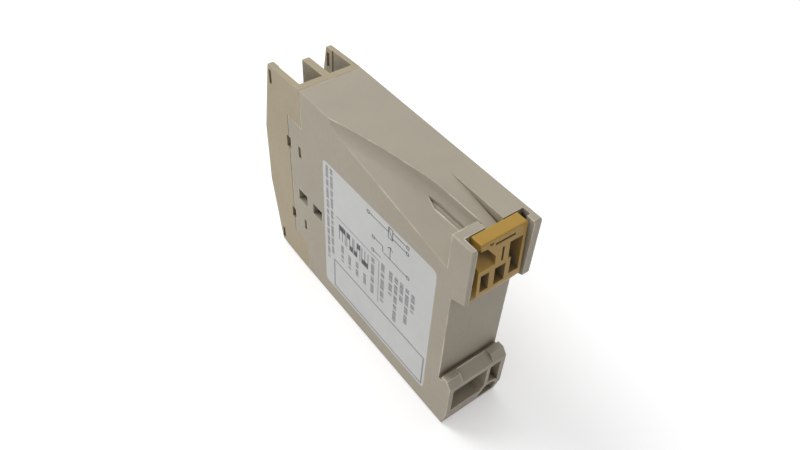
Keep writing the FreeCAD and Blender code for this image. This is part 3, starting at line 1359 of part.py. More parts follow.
def armature_spring():
    """Flat spring on the yoke that reaches over the armature's hinge edge."""
    x0 = YOKE_TOP_X + HINGE_SPRING_PAD
    half = HINGE_SPRING_HALF
    front_y = PIVOT_Y - HINGE_SPRING_OVERHANG
    rear_y = POLE_Y + HINGE_SPRING_LENGTH
    leaf = box(x0, x0 + HINGE_SPRING_THICKNESS, front_y, rear_y, RELAY_Z - half, RELAY_Z + half)
    pad = box(YOKE_TOP_X, x0, POLE_Y + HINGE_SPRING_LENGTH / 2, rear_y, RELAY_Z - half, RELAY_Z + half)
    return joined([leaf, pad])


def relay_cover():
    top = RELAY_CEILING_X
    half = RELAY_WIDTH / 2
    wall = RELAY_COVER_WALL
    shell = box(RELAY_DECK_X, top + wall, RELAY_FRONT_Y, RELAY_REAR_Y, RELAY_Z - half, RELAY_Z + half)
    shell = rounded(shell, EDGE_ROUND, lambda middle, span: middle.x > RELAY_DECK_X + TINY)
    y0 = RELAY_FRONT_Y + wall
    y1 = RELAY_REAR_Y - wall
    return shell.cut(box(RELAY_DECK_X, top, y0, y1, RELAY_Z - half + wall, RELAY_Z + half - wall))


def nodes():
    """Every piece under its own name."""
    pieces = {
        "rear_case": rear_case(),
        "front_block": front_block(),
        "rail_clip": rail_clip(),
        "side_label": side_label(),
        "front_panel": front_panel(),
        "time_dial": time_dial(),
        "dial_shaft": dial_shaft(),
        "range_selector": selector(-1),
        "mode_selector": selector(1),
        "power_lens": lamp_lens(-1),
        "output_lens": lamp_lens(1),
        "terminal_screws": at_every_terminal(terminal_screw),
        "terminal_clamps": at_every_terminal(terminal_clamp),
        "main_board": main_board(),
        "control_board": control_board(),
        "board_pins": board_pins(),
        "dial_potentiometer": dial_potentiometer(),
        "range_switch": selector_switch(-1),
        "mode_switch": selector_switch(1),
        "power_lamp": lamp(-1),
        "output_lamp": lamp(1),
        "timer_chip": timer_chip(),
        "mains_capacitor": mains_capacitor(),
        "smoothing_capacitor": can_capacitor(
            SMOOTHING_CAPACITOR_FROM_COLLAR, SMOOTHING_CAPACITOR_FROM_BOTTOM,
            SMOOTHING_CAPACITOR_RADIUS, SMOOTHING_CAPACITOR_HEIGHT),
        "timing_capacitor": can_capacitor(
            TIMING_CAPACITOR_FROM_COLLAR, TIMING_CAPACITOR_FROM_BOTTOM,
            TIMING_CAPACITOR_RADIUS, TIMING_CAPACITOR_HEIGHT),
        "varistor": varistor(),
        "resistors": resistors(),
        "diodes": diodes(),
        "transistor": transistor(),
        "relay_base": relay_base(),
        "relay_bobbin": relay_bobbin(),
        "relay_coil": relay_coil(),
        "relay_core": relay_core(),
        "relay_yoke": relay_yoke(),
        "relay_armature": relay_armature(),
        "contact_carrier": contact_carrier(),
        "moving_contacts": moving_contacts(),
        "make_contacts": make_contacts(),
        "break_contacts": break_contacts(),
        "armature_spring": armature_spring(),
        "relay_cover": relay_cover(),
    }
    pieces.update(terminal_bars())
    return pieces


def main():
    os.makedirs("parts", exist_ok=True)
    for name, shape in nodes().items():
        shape.exportStep("parts/" + name + ".step")


main()
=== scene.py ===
import bpy
import bmesh
import math
from mathutils import Matrix, Vector


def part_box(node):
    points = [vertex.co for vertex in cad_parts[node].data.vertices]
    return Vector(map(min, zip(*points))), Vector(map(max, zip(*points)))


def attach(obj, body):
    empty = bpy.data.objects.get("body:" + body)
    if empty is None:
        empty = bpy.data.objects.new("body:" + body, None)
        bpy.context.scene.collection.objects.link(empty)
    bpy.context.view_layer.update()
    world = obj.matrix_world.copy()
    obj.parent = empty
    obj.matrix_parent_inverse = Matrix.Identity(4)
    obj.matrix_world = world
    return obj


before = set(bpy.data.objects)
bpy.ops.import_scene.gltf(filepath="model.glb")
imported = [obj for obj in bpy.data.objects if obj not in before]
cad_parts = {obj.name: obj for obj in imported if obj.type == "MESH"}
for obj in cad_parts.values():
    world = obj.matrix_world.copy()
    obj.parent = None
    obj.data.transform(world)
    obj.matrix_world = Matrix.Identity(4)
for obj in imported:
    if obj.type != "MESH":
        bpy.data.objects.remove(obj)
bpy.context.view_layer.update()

MM = 0.001

# Camera: place and clip range in metres, roll in degrees, focal length and frame width in pixels
CAMERA_PLACE = Vector((0.099318, 0.129398, 0.206767))
CAMERA_FORWARD = Vector((-0.44736, -0.54035, -0.71266))
CAMERA_ROLL = 3.89
CAMERA_NEAR = 0.01
CAMERA_FAR = 10.0
FOCAL_PIXELS = 730.1
FRAME_PIXELS = 800
SENSOR_WIDTH = 36.0

# Light: a soft dome that is brighter on the front side than on the rail side, and one large lamp
FRONT_SKY = 1.2
REAR_SKY = 0.3
KEY_PLACE = Vector((0.25, -0.45, 0.74))
KEY_TARGET = Vector((0.0, 0.0, 0.04))
KEY_SIZE = 0.4
KEY_POWER = 3.0

# Floor: size and drop below the part in metres, grey of its paper, glow that lifts it to white
FLOOR_SIZE = 6.0
FLOOR_DROP = 0.0002
FLOOR_GREY = 0.82
FLOOR_ROUGHNESS = 0.9
FLOOR_LIFT = 0.28

# Rounding of the moulded and pressed edges, in millimetres
EDGE_SIZES = {
    "rear_case": 0.22,
    "front_block": 0.22,
    "rail_clip": 0.22,
    "front_panel": 0.1,
    "time_dial": 0.1,
    "range_selector": 0.08,
    "mode_selector": 0.08,
    "terminal_clamps": 0.12,
}
EDGE_SEGMENTS = 2
EDGE_ANGLE = math.radians(32.0)
FLAT_ANGLE = math.radians(0.4)
WELD_GAP = 1e-6
NORMAL_WEIGHT = 80


# Node helpers

NOISE_RANGE = (0.3, 0.7)
EDGE_SAMPLES = 6
HOLLOW_SAMPLES = 8
HOLLOW_RANGE = (0.3, 0.9)

# Numbers of the colour sockets of a Mix node
MIX_A = 6
MIX_B = 7
MIX_RESULT = 2


class Surface:
    """A new material with its Principled shader and the part's own coordinates."""

    def __init__(self, name, colour, roughness, metallic=0.0):
        self.material = bpy.data.materials.new(name)
        self.material.use_nodes = True
        self.tree = self.material.node_tree
        self.shader = self.tree.nodes["Principled BSDF"]
        self.shader.inputs["Base Color"].default_value = (*colour, 1.0)
        self.shader.inputs["Roughness"].default_value = roughness
        self.shader.inputs["Metallic"].default_value = metallic
        self.material.diffuse_color = (*colour, 1.0)
        self.place = self.add("ShaderNodeTexCoord").outputs["Object"]

    def add(self, kind):
        return self.tree.nodes.new(kind)

    def link(self, source, target):
        self.tree.links.new(source, target)

    def noise(self, scale, detail=3.0, roughness=0.55, stretch=None):
        node = self.add("ShaderNodeTexNoise")
        node.inputs["Scale"].default_value = scale
        node.inputs["Detail"].default_value = detail
        node.inputs["Roughness"].default_value = roughness
        place = self.place
        if stretch:
            mapping = self.add("ShaderNodeMapping")
            mapping.inputs["Scale"].default_value = stretch
            self.link(place, mapping.inputs["Vector"])
            place = mapping.outputs["Vector"]
        self.link(place, node.inputs["Vector"])
        return node.outputs["Fac"]

    def bands(self, direction, scale, distortion=0.0):
        """Waves across one axis of the part."""
        node = self.add("ShaderNodeTexWave")
        node.wave_type = "BANDS"
        node.bands_direction = direction
        node.inputs["Scale"].default_value = scale
        node.inputs["Distortion"].default_value = distortion
        self.link(self.place, node.inputs["Vector"])
        return node.outputs["Fac"]

    def spread(self, value, low, high, out_low, out_high):
        """Value moved from one range to another, held at its ends."""
        node = self.add("ShaderNodeMapRange")
        node.inputs["From Min"].default_value = low
        node.inputs["From Max"].default_value = high
        node.inputs["To Min"].default_value = out_low
        node.inputs["To Max"].default_value = out_high
        self.link(value, node.inputs["Value"])
        return node.outputs["Result"]

    def drifting(self, scale, low, high, detail=3.0):
        """Noise that drifts between two values."""
        return self.spread(self.noise(scale, detail), *NOISE_RANGE, low, high)

    def times(self, a, b):
        node = self.add("ShaderNodeMath")
        node.operation = "MULTIPLY"
        self.link(a, node.inputs[0])
        self.link(b, node.inputs[1])
        return node.outputs["Value"]

    def mixed(self, share, a, b):
        """Colour a to colour b by a share; each is a plain colour or a socket."""
        node = self.add("ShaderNodeMix")
        node.data_type = "RGBA"
        self.link(share, node.inputs["Factor"])
        for value, socket in ((a, node.inputs[MIX_A]), (b, node.inputs[MIX_B])):
            if isinstance(value, tuple):
                socket.default_value = (*value, 1.0)
            else:
                self.link(value, socket)
        return node.outputs[MIX_RESULT]

    def turning(self, radius):
        """1 on open faces, less the more the surface turns at an edge within the radius."""
        bevel = self.add("ShaderNodeBevel")
        bevel.samples = EDGE_SAMPLES
        bevel.inputs["Radius"].default_value = radius
        flat = self.add("ShaderNodeNewGeometry").outputs["True Normal"]
        dot = self.add("ShaderNodeVectorMath")
        dot.operation = "DOT_PRODUCT"
        self.link(bevel.outputs["Normal"], dot.inputs[0])
        self.link(flat, dot.inputs[1])
        return dot.outputs["Value"]

    def hollows(self, distance):
        """1 in deep corners, 0 on open faces."""
        node = self.add("ShaderNodeAmbientOcclusion")
        node.samples = HOLLOW_SAMPLES
        node.only_local = True
        node.inputs["Distance"].default_value = distance
        return self.spread(node.outputs["AO"], *HOLLOW_RANGE, 1.0, 0.0)

    def bump(self, heights):
        """Relief from (height socket, strength, depth in metres) in turn."""
        normal = None
        for height, strength, depth in heights:
            node = self.add("ShaderNodeBump")
            node.inputs["Strength"].default_value = strength
            node.inputs["Distance"].default_value = depth
            self.link(height, node.inputs["Height"])
            if normal:
                self.link(normal, node.inputs["Normal"])
            normal = node.outputs["Normal"]
        self.link(normal, self.shader.inputs["Normal"])

    def colour(self, socket):
        self.link(socket, self.shader.inputs["Base Color"])

    def gloss(self, socket):
        self.link(socket, self.shader.inputs["Roughness"])


def tinted(colour, factor):
    return tuple(channel * factor for channel in colour)


# Materials

# Ranges of the turn at an edge that is painted pale, partly as wear and partly as painted highlight, and
# at one that gets a painted glint, paler still
WEAR_AND_HIGHLIGHT_TURN = (0.86, 0.992)
GLINT_TURN = (0.86, 0.935)


def moulded(name, colour, roughness=0.5, drift=0.05, grain=0.25, wear_and_highlight=1.18, wear_and_highlight_radius=0.0004, painted_glint=None,
            corner_shade_colour=None, reach=0.003, shine=0.5):
    """Moulded plastic: colour drift, specks, eroded texture, edges painted pale as wear and as
    highlight, a painted glint, painted shade in the corners.
    """
    s = Surface(name, colour, roughness)
    s.shader.inputs["Specular IOR Level"].default_value = shine
    slow = s.drifting(38.0, 0.0, 1.0, 4.0)
    base = s.mixed(slow, tinted(colour, 1.0 - drift), tinted(colour, 1.0 + drift))
    specks = s.spread(s.noise(2600.0, 2.0, 0.6), 0.62, 0.78, 0.0, 0.35)
    base = s.mixed(specks, base, tinted(colour, 0.8))
    turn = s.turning(wear_and_highlight_radius)
    uneven = s.spread(s.noise(420.0), 0.35, 0.6, 0.45, 1.0)
    # Edges painted pale: partly wear, partly painted highlight where the rounded edges catch the light
    worn_and_lit_edge = s.times(s.spread(turn, *WEAR_AND_HIGHLIGHT_TURN, 1.0, 0.0), uneven)
    base = s.mixed(worn_and_lit_edge, base, tinted(colour, wear_and_highlight))
    hollow = s.hollows(reach)
    # Painted glint: a painted highlight, much paler, on open sharply turned edges
    if painted_glint:
        outward = s.spread(hollow, 0.0, 0.25, 1.0, 0.0)
        core = s.times(s.spread(turn, *GLINT_TURN, 1.0, 0.0), outward)
        patchy = s.spread(s.noise(92.0), 0.45, 0.6, 0.0, 1.0)
        base = s.mixed(s.times(core, patchy), base, tinted(colour, painted_glint))
    # Painted shade: corners and recesses darkened towards the shade colour
    corner_shade = s.times(hollow, s.drifting(180.0, 0.5, 0.9, 4.0))
    base = s.mixed(corner_shade, base, corner_shade_colour or tinted(colour, 0.7))
    s.colour(base)
    s.gloss(s.drifting(700.0, roughness - 0.06, roughness + 0.08))
    s.bump([
        (s.noise(3800.0, 2.0, 0.6), grain, 0.00004),
        (s.noise(90.0, 2.0), grain * 0.4, 0.0001),
    ])
    return s.material


def label_film():
    """Satin label film, faintly mottled, with a slightly darker fine grain."""
    colour = (0.515, 0.521, 0.508)
    s = Surface("label_film", colour, 0.42)
    slow = s.drifting(45.0, 0.0, 1.0, 4.0)
    base = s.mixed(slow, tinted(colour, 0.96), tinted(colour, 1.04))
    fibre = s.spread(s.noise(1800.0, 3.0, 0.6), 0.45, 0.75, 0.0, 0.25)
    base = s.mixed(fibre, base, tinted(colour, 0.88))
    s.colour(base)
    s.gloss(s.drifting(300.0, 0.36, 0.5))
    s.bump([(s.noise(2200.0, 2.0), 0.12, 0.00003), (s.noise(70.0, 2.0), 0.1, 0.0001)])
    return s.material


def ink(name, colour):
    """Printed ink, uneven where it lies thin."""
    s = Surface(name, colour, 0.5)
    thin = s.spread(s.noise(1400.0, 3.0, 0.65), 0.45, 0.72, 0.0, 0.5)
    s.colour(s.mixed(thin, colour, tuple(0.6 * channel + 0.12 for channel in colour)))
    s.gloss(s.drifting(600.0, 0.42, 0.58))
    s.bump([(s.noise(2600.0, 2.0), 0.1, 0.00002)])
    return s.material


METAL_DRIFT = 0.12
SCRATCH_STRETCH = (1.0, 12.0, 1.0)


def metal(name, colour, roughness):
    """Plated or plain metal with drawn scratches, dull patches and painted shade in its corners."""
    s = Surface(name, colour, roughness, metallic=1.0)
    patch = s.spread(s.noise(160.0, 4.0), 0.35, 0.7, 0.0, 1.0)
    base = s.mixed(patch, tinted(colour, 1.0 + METAL_DRIFT), tinted(colour, 1.0 - METAL_DRIFT))
    # Painted shade: corners darkened to less than half the metal's colour
    corner_shade = s.hollows(0.0012)
    base = s.mixed(corner_shade, base, tinted(colour, 0.45))
    s.colour(base)
    lines = s.noise(900.0, 3.0, 0.6, SCRATCH_STRETCH)
    s.gloss(s.spread(lines, *NOISE_RANGE, roughness - 0.08, roughness + 0.14))
    s.bump([(lines, 0.12, 0.00003)])
    return s.material


def lens(name, colour):
    """Tinted clear plastic."""
    s = Surface(name, colour, 0.18)
    s.shader.inputs["Transmission Weight"].default_value = 0.45
    s.shader.inputs["IOR"].default_value = 1.49
    cloud = s.drifting(500.0, 0.0, 1.0)
    s.colour(s.mixed(cloud, tinted(colour, 0.85), tinted(colour, 1.12)))
    s.gloss(s.drifting(900.0, 0.12, 0.26))
    s.bump([(s.noise(1500.0), 0.08, 0.00002)])
    return s.material


def laminate():
    """Green circuit board: lacquer that drifts in tone, with paler conductor runs."""
    colour = (0.025, 0.12, 0.05)
    shades = {"Color1": colour, "Color2": (0.03, 0.135, 0.055), "Mortar": (0.06, 0.22, 0.09)}
    s = Surface("board_laminate", colour, 0.35)
    runs = s.add("ShaderNodeTexBrick")
    runs.inputs["Scale"].default_value = 160.0
    runs.inputs["Mortar Size"].default_value = 0.06
    for socket, shade in shades.items():
        runs.inputs[socket].default_value = (*shade, 1.0)
    turned = s.add("ShaderNodeMapping")
    turned.inputs["Rotation"].default_value = (0.0, math.radians(90.0), 0.0)
    s.link(s.place, turned.inputs["Vector"])
    s.link(turned.outputs["Vector"], runs.inputs["Vector"])
    s.colour(s.mixed(s.drifting(70.0, 0.0, 0.35), runs.outputs["Color"], (0.02, 0.09, 0.04)))
    s.gloss(s.drifting(900.0, 0.28, 0.45))
    s.bump([(s.noise(2400.0, 2.0), 0.2, 0.00003)])
    return s.material


def winding():
    """Lacquered copper wire wound along the coil's axis."""
    colour = (0.55, 0.19, 0.06)
    s = Surface("copper_winding", colour, 0.3, metallic=0.8)
    turns = s.bands("Y", 900.0, 0.6)
    s.colour(s.mixed(turns, tinted(colour, 0.55), tinted(colour, 1.1)))
    s.gloss(s.drifting(800.0, 0.24, 0.4))
    s.bump([(turns, 0.6, 0.00008)])
    return s.material


def banded(name, colour, band, density):
    """Lacquered small part with colour rings along its length."""
    s = Surface(name, colour, 0.35)
    share = s.spread(s.bands("Z", density), 0.78, 0.86, 0.0, 1.0)
    s.colour(s.mixed(share, colour, band))
    s.gloss(s.drifting(900.0, 0.28, 0.45))
    s.bump([(s.noise(2200.0), 0.15, 0.00003)])
    return s.material


# Each moulding's corner shade colour is painted shade, its pale edges are partly painted highlight, and
# the case's glint is a painted highlight
CASE = moulded("case_plastic", (0.340, 0.302, 0.236), roughness=0.55, drift=0.045, wear_and_highlight=1.25, wear_and_highlight_radius=0.0008,
               painted_glint=2.1, corner_shade_colour=(0.23, 0.2, 0.148), reach=0.004)
BLOCK = moulded("block_plastic", (0.340, 0.284, 0.185), roughness=0.55, drift=0.06, wear_and_highlight=1.3, wear_and_highlight_radius=0.0007,
                corner_shade_colour=(0.13, 0.11, 0.068), reach=0.012)
CLIP = moulded("clip_plastic", (0.368, 0.214, 0.03), roughness=0.38, drift=0.06, grain=0.18, wear_and_highlight=1.2,
               corner_shade_colour=(0.14, 0.135, 0.135), reach=0.005, shine=0.35)
PANEL = moulded("panel_plastic", (0.05, 0.052, 0.055), roughness=0.45, drift=0.1, grain=0.3, wear_and_highlight=1.8)
DIAL = moulded("dial_plastic", (0.022, 0.022, 0.024), roughness=0.38, drift=0.12, grain=0.2, wear_and_highlight=2.2)
ROTOR = moulded("rotor_plastic", (0.62, 0.60, 0.55), roughness=0.42, grain=0.2, wear_and_highlight=1.08)
BLACK = moulded("black_moulding", (0.03, 0.03, 0.032), roughness=0.45, drift=0.1, grain=0.3, wear_and_highlight=1.6)
RELAY = moulded("relay_moulding", (0.06, 0.09, 0.14), roughness=0.42, drift=0.08, wear_and_highlight=1.4)
COVER = moulded("relay_cover_plastic", (0.42, 0.45, 0.46), roughness=0.25, grain=0.15, wear_and_highlight=1.1)
YELLOW = moulded("film_capacitor_yellow", (0.60, 0.40, 0.05), roughness=0.32, grain=0.15, wear_and_highlight=1.15)
SLEEVE = moulded("can_sleeve", (0.02, 0.035, 0.09), roughness=0.3, drift=0.1, grain=0.12, wear_and_highlight=1.5)
BLUE = moulded("blue_coating", (0.03, 0.12, 0.36), roughness=0.3, drift=0.08, grain=0.2, wear_and_highlight=1.3)
FILM = label_film()
DARK_INK = ink("dark_ink", (0.05, 0.052, 0.058))
GREY_INK = ink("grey_ink", (0.20, 0.205, 0.21))
PALE_INK = ink("pale_ink", (0.72, 0.72, 0.70))
STEEL = metal("plated_steel", (0.62, 0.61, 0.58), roughness=0.32)
BRASS = metal("contact_brass", (0.70, 0.50, 0.22), roughness=0.3)
IRON = metal("soft_iron", (0.42, 0.42, 0.43), roughness=0.4)
GREEN = lens("green_lens", (0.10, 0.55, 0.16))
AMBER = lens("amber_lens", (0.85, 0.38, 0.05))
LAMINATE = laminate()
WINDING = winding()
RESISTOR = banded("resistor_lacquer", (0.50, 0.36, 0.20), band=(0.16, 0.05, 0.03), density=420.0)
DIODE = banded("diode_lacquer", (0.035, 0.035, 0.04), band=(0.5, 0.5, 0.5), density=90.0)

# The nodes with no row here, the terminal bars, are brass
NODE_MATERIALS = {
    "rear_case": CASE,
    "front_block": BLOCK,
    "rail_clip": CLIP,
    "side_label": FILM,
    "front_panel": PANEL,
    "time_dial": DIAL,
    "dial_shaft": ROTOR,
    "range_selector": ROTOR,
    "mode_selector": ROTOR,
    "power_lens": GREEN,
    "output_lens": AMBER,
    "terminal_screws": STEEL,
    "terminal_clamps": STEEL,
    "main_board": LAMINATE,
    "control_board": LAMINATE,
    "board_pins": BRASS,
    "dial_potentiometer": BLACK,
    "range_switch": BLACK,
    "mode_switch": BLACK,
    "power_lamp": GREEN,
    "output_lamp": AMBER,
    "timer_chip": BLACK,
    "mains_capacitor": YELLOW,
    "smoothing_capacitor": SLEEVE,
    "timing_capacitor": SLEEVE,
    "varistor": BLUE,
    "resistors": RESISTOR,
    "diodes": DIODE,
    "transistor": BLACK,
    "relay_base": RELAY,
    "relay_bobbin": RELAY,
    "relay_coil": WINDING,
    "relay_core": IRON,
    "relay_yoke": IRON,
    "relay_armature": IRON,
    "contact_carrier": RELAY,
    "moving_contacts": BRASS,
    "make_contacts": BRASS,
    "break_contacts": BRASS,
    "armature_spring": BRASS,
    "relay_cover": COVER,
}


def dress_nodes():
    """Give every CAD node its material, and the larger ones softly rounded edges."""
    for name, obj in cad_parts.items():
        material = NODE_MATERIALS.get(name, BRASS)
        obj.data.materials.clear()
        obj.data.materials.append(material)
        if name in EDGE_SIZES:
            soften(obj, EDGE_SIZES[name] * MM)


def soften(obj, width):
    """Join the split facets, clear the flat faces of inner edges and round the sharp ones."""
    weld = obj.modifiers.new("weld", "WELD")
    weld.merge_threshold = WELD_GAP
    flat = obj.modifiers.new("flat", "DECIMATE")
    flat.decimate_type = "DISSOLVE"
    flat.angle_limit = FLAT_ANGLE
    bevel = obj.modifiers.new("round", "BEVEL")
    bevel.width = width
    bevel.segments = EDGE_SEGMENTS
    bevel.limit_method = "ANGLE"
    bevel.angle_limit = EDGE_ANGLE
    normals = obj.modifiers.new("normals", "WEIGHTED_NORMAL")
    normals.weight = NORMAL_WEIGHT


def closed_mesh(name, material, body, faces_of):
    """A piece made of the solids that faces_of adds to an empty mesh."""
    bm = bmesh.new()
    faces_of(bm)
    mesh = bpy.data.meshes.new(name)
    bm.to_mesh(mesh)
    bm.free()
    mesh.materials.append(material)
    obj = bpy.data.objects.new(name, mesh)
    bpy.context.scene.collection.objects.link(obj)
    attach(obj, body)


def add_wall(bm, near, far):
    """Faces all round between two closed loops of points."""
    count = len(near)
    for index in range(count):
        after = (index + 1) % count
        bm.faces.new((near[index], near[after], far[after], far[index]))


def add_prism(bm, outline, depth):
    """Closed prism on an outline of points, drawn out by a vector."""
    low = [bm.verts.new(point) for point in outline]
    high = [bm.verts.new(point + depth) for point in outline]
    bm.faces.new(list(reversed(low)))
    bm.faces.new(high)
    add_wall(bm, low, high)


# Print on the label, in millimetres: s down from its upper end, t forward from its rear edge

LABEL_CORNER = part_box("side_label")[1] / MM
PRINT_SINK = 0.005
PRINT_PROUD = 0.015
PRINT_DEPTH = Vector(((PRINT_SINK + PRINT_PROUD) * MM, 0.0, 0.0))
LINE = 0.32


def on_label(s, t):
    """Point of the part for a point of the label, just under its face."""
    return (LABEL_CORNER - Vector((PRINT_SINK, t, s))) * MM


def add_field(bm, s0, s1, t0, t1):
    """Filled rectangle on the label."""
    corners = [on_label(s0, t0), on_label(s0, t1), on_label(s1, t1), on_label(s1, t0)]
    add_prism(bm, corners, PRINT_DEPTH)


def add_stroke(bm, start, end, width):
    """Straight line on the label between two (s, t) points."""
    a = Vector(start)
    b = Vector(end)
    along = (b - a).normalized()
    side = Vector((-along.y, along.x)) * width / 2
    corners = [on_label(*point) for point in (a + side, a - side, b - side, b + side)]
    add_prism(bm, corners, PRINT_DEPTH)


def add_frame(bm, s0, s1, t0, t1, width):
    """Outline of a rectangle on the label, as one closed ring."""
    loops = []
    for depth in (Vector(), PRINT_DEPTH):
        for grow in (width / 2, -width / 2):
            top, low = s0 - grow, s1 + grow
            rear, front = t0 - grow, t1 + grow
            corners = ((top, rear), (top, front), (low, front), (low, rear))
            loops.append([bm.verts.new(on_label(s, t) + depth) for s, t in corners])
    under_outer, under_inner, upper_outer, upper_inner = loops
    add_wall(bm, under_outer, upper_outer)
    add_wall(bm, upper_outer, upper_inner)
    add_wall(bm, upper_inner, under_inner)
    add_wall(bm, under_inner, under_outer)


def add_corner(bm, s0, t0, s_end, t_end, width):
    """Two lines on the label that meet square, as one closed shape."""
    half = width / 2
    outline = (
        (s0 - half, t0 - half),
        (s0 - half, t_end),
        (s0 + half, t_end),
        (s0 + half, t0 + half),
        (s_end, t0 + half),
        (s_end, t0 - half),
    )
    add_prism(bm, [on_label(s, t) for s, t in outline], PRINT_DEPTH)


# Rows of plain dashes: first s, last s, t of the middle, dash height
DASH_ROWS = (
    (18.2, 26.2, 8.5, 1.7),
    (18.2, 34.4, 11.2, 1.7),
    (18.2, 26.6, 13.9, 1.7),
    (18.2, 38.6, 16.5, 1.7),
    (18.2, 28.6, 19.2, 1.7),
    (18.4, 35.8, 23.2, 1.8),
    (20.4, 36.8, 28.3, 1.7),
    (31.6, 37.0, 32.4, 1.5),
    (30.0, 36.6, 36.6, 1.5),
    (31.0, 37.0, 40.8, 1.5),
    (29.8, 37.6, 45.0, 1.5),
    (1.2, 38.6, 50.7, 1.4),
    (1.2, 42.2, 53.1, 1.4),
)
DASH_WIDTHS = (0.42, 0.3, 0.34, 0.24, 0.5, 0.28, 0.38)
DASH_GAP = 0.36
WORD_LENGTHS = (5, 3, 7, 4, 6)
WORD_GAP = 0.75


def print_dashes(bm):
    """Word-like groups of small upright dashes that spell nothing."""
    for row, (start, end, middle, height) in enumerate(DASH_ROWS):
        s = start
        index = row
        word = row
        left = WORD_LENGTHS[word % len(WORD_LENGTHS)]
        while s < end:
            width = min(DASH_WIDTHS[index % len(DASH_WIDTHS)], end - s)
            add_field(bm, s, s + width, middle - height / 2, middle + height / 2)
            s += width + DASH_GAP
            index += 1
            left -= 1
            if left == 0:
                s += WORD_GAP
                word += 1
                left = WORD_LENGTHS[word % len(WORD_LENGTHS)]


# Wiring sketch: first and last s and t of the coil's box, lines between (s, t) points, lead ends
COIL_BOX = (0.9, 5.0, 19.4, 21.4)
WIRES = (
    ((1.7, 13.4), (1.7, 19.3)),
    ((4.1, 13.4), (4.1, 19.3)),
    ((0.9, 21.4), (5.0, 19.4)),
    ((2.9, 21.5), (2.9, 30.6)),
    ((13.4, 12.2), (13.2, 23.2)),
    ((8.2, 20.1), (13.2, 20.1)),
    ((8.4, 20.1), (9.4, 21.4)),
    ((8.4, 20.1), (9.4, 18.8)),
    ((13.2, 23.6), (10.9, 23.8)),
    ((10.9, 23.8), (11.0, 27.8)),
    ((16.4, 24.4), (16.6, 27.8)),
)
LEAD_ENDS = ((1.7, 12.0), (4.1, 12.0), (2.9, 30.8), (13.4, 11.0), (11.0, 28.0), (16.6, 28.0))
END_SIZE = 1.0


def print_wiring(bm):
    """Generic wiring sketch: a coil between its leads, and a change-over contact."""
    add_frame(bm, *COIL_BOX, LINE)
    for start, end in WIRES:
        add_stroke(bm, start, end, LINE)
    for s, t in LEAD_ENDS:
        add_frame(bm, s - END_SIZE / 2, s + END_SIZE / 2, t, t + END_SIZE, LINE)


# Timing charts: their first t, their span of s, and in each the on-times as a span of s and one of t
CHART_TOPS = (30.8, 35.1, 39.1, 43.3)
CHART_START = 21.1
CHART_END = 27.9
CHART_HEIGHT = 3.3
EARLY = (CHART_START, 23.5)
LATE = (25.6, CHART_END)
FULL = (0.0, CHART_HEIGHT)
UPPER = (0.0, CHART_HEIGHT / 2)
LOWER = (CHART_HEIGHT / 2, CHART_HEIGHT)
CHART_BLOCKS = (
    ((LATE, FULL),),
    ((EARLY, UPPER), (LATE, LOWER)),
    ((LATE, UPPER), (EARLY, LOWER)),
    ((EARLY, FULL),),
)


def print_charts(bm):
    """Four small timing charts: ruled lines with filled on-times."""
    for top, blocks in zip(CHART_TOPS, CHART_BLOCKS):
        for drop in (0.0, CHART_HEIGHT / 2, CHART_HEIGHT):
            add_stroke(bm, (CHART_START, top + drop), (CHART_END, top + drop), LINE)
        for (s0, s1), (t0, t1) in blocks:
            add_field(bm, s0, s1, top + t0, top + t1)


# Rules: the corner's (s, t) and the ends of its two lines, and the long box with its line
RULE_CORNER = (18.9, 25.2)
RULE_ENDS = (38.2, 48.2)
LONG_BOX = (40.7, 54.2, 1.2, 49.9)
LONG_BOX_LINE = 0.62


def print_rules(bm):
    """Thin rules around the charts and the long ruled box at the lower end."""
    add_corner(bm, *RULE_CORNER, *RULE_ENDS, LINE)
    add_frame(bm, *LONG_BOX, LONG_BOX_LINE)


def print_label():
    """All that is printed on the label."""
    closed_mesh("label_dashes", DARK_INK, "housing", print_dashes)
    closed_mesh("label_wiring", DARK_INK, "housing", print_wiring)
    closed_mesh("label_charts", DARK_INK, "housing", print_charts)
    closed_mesh("label_rules", GREY_INK, "housing", print_rules)


# Front scale: in use the part hangs with its clip end down, so the scale reads from the low-Z side

SCALE_STEPS = 10
SCALE_SWEEP = 270.0
TICK_INNER = 6.5
TICK_LENGTHS = (0.65, 0.4)
TICK_WIDTH = 0.16
NUMBER_RADIUS = 8.05
NUMBER_SIZE = 1.35
NUMBER_SMOOTHNESS = 3
NUMBER_TURN = Matrix(((-1, 0, 0), (0, 0, -1), (0, -1, 0))).to_4x4()
PAINT_DEPTH = 0.03
PAINT_LIFT = Vector((0.0, -PAINT_DEPTH * MM, 0.0))

# Selectors: name, sweep in degrees, steps; and the inner and outer radius of their ticks
SELECTORS = (("range", 210.0, 7), ("mode", 90.0, 3))
SELECTOR_TICK = (2.45, 2.85)

# Marks on the dial and on the selectors: inner radius, outer radius, width
DIAL_MARK = (4.9, 5.5, 0.6)
ROTOR_MARK = (1.85, 2.1, 0.35)


def front_place(node):
    """Middle of a node's foremost face, in millimetres."""
    low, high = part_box(node)
    middle = (low + high) / 2
    return Vector((middle.x, low.y, middle.z)) / MM


DIAL_PLACE = front_place("time_dial")
PANEL_FACE_Y = front_place("front_panel").y


def on_panel(place):
    """The point of the panel's face behind a place."""
    return Vector((place.x, PANEL_FACE_Y, place.z))


def on_front(centre, radius, angle):
    """Point on a front face, by radius and angle from the reading direction up, which is towards -Z."""
    turn = math.radians(angle)
    return (centre - Vector((radius * math.sin(turn), 0.0, radius * math.cos(turn)))) * MM


def add_ray(bm, centre, inner, outer, angle, width):
    """Straight painted mark that points away from a centre."""
    turn = math.radians(angle)
    side = Vector((-math.cos(turn), 0.0, math.sin(turn))) * width / 2 * MM
    a = on_front(centre, inner, angle)
    b = on_front(centre, outer, angle)
    add_prism(bm, [a - side, b - side, b + side, a + side], PAINT_LIFT)


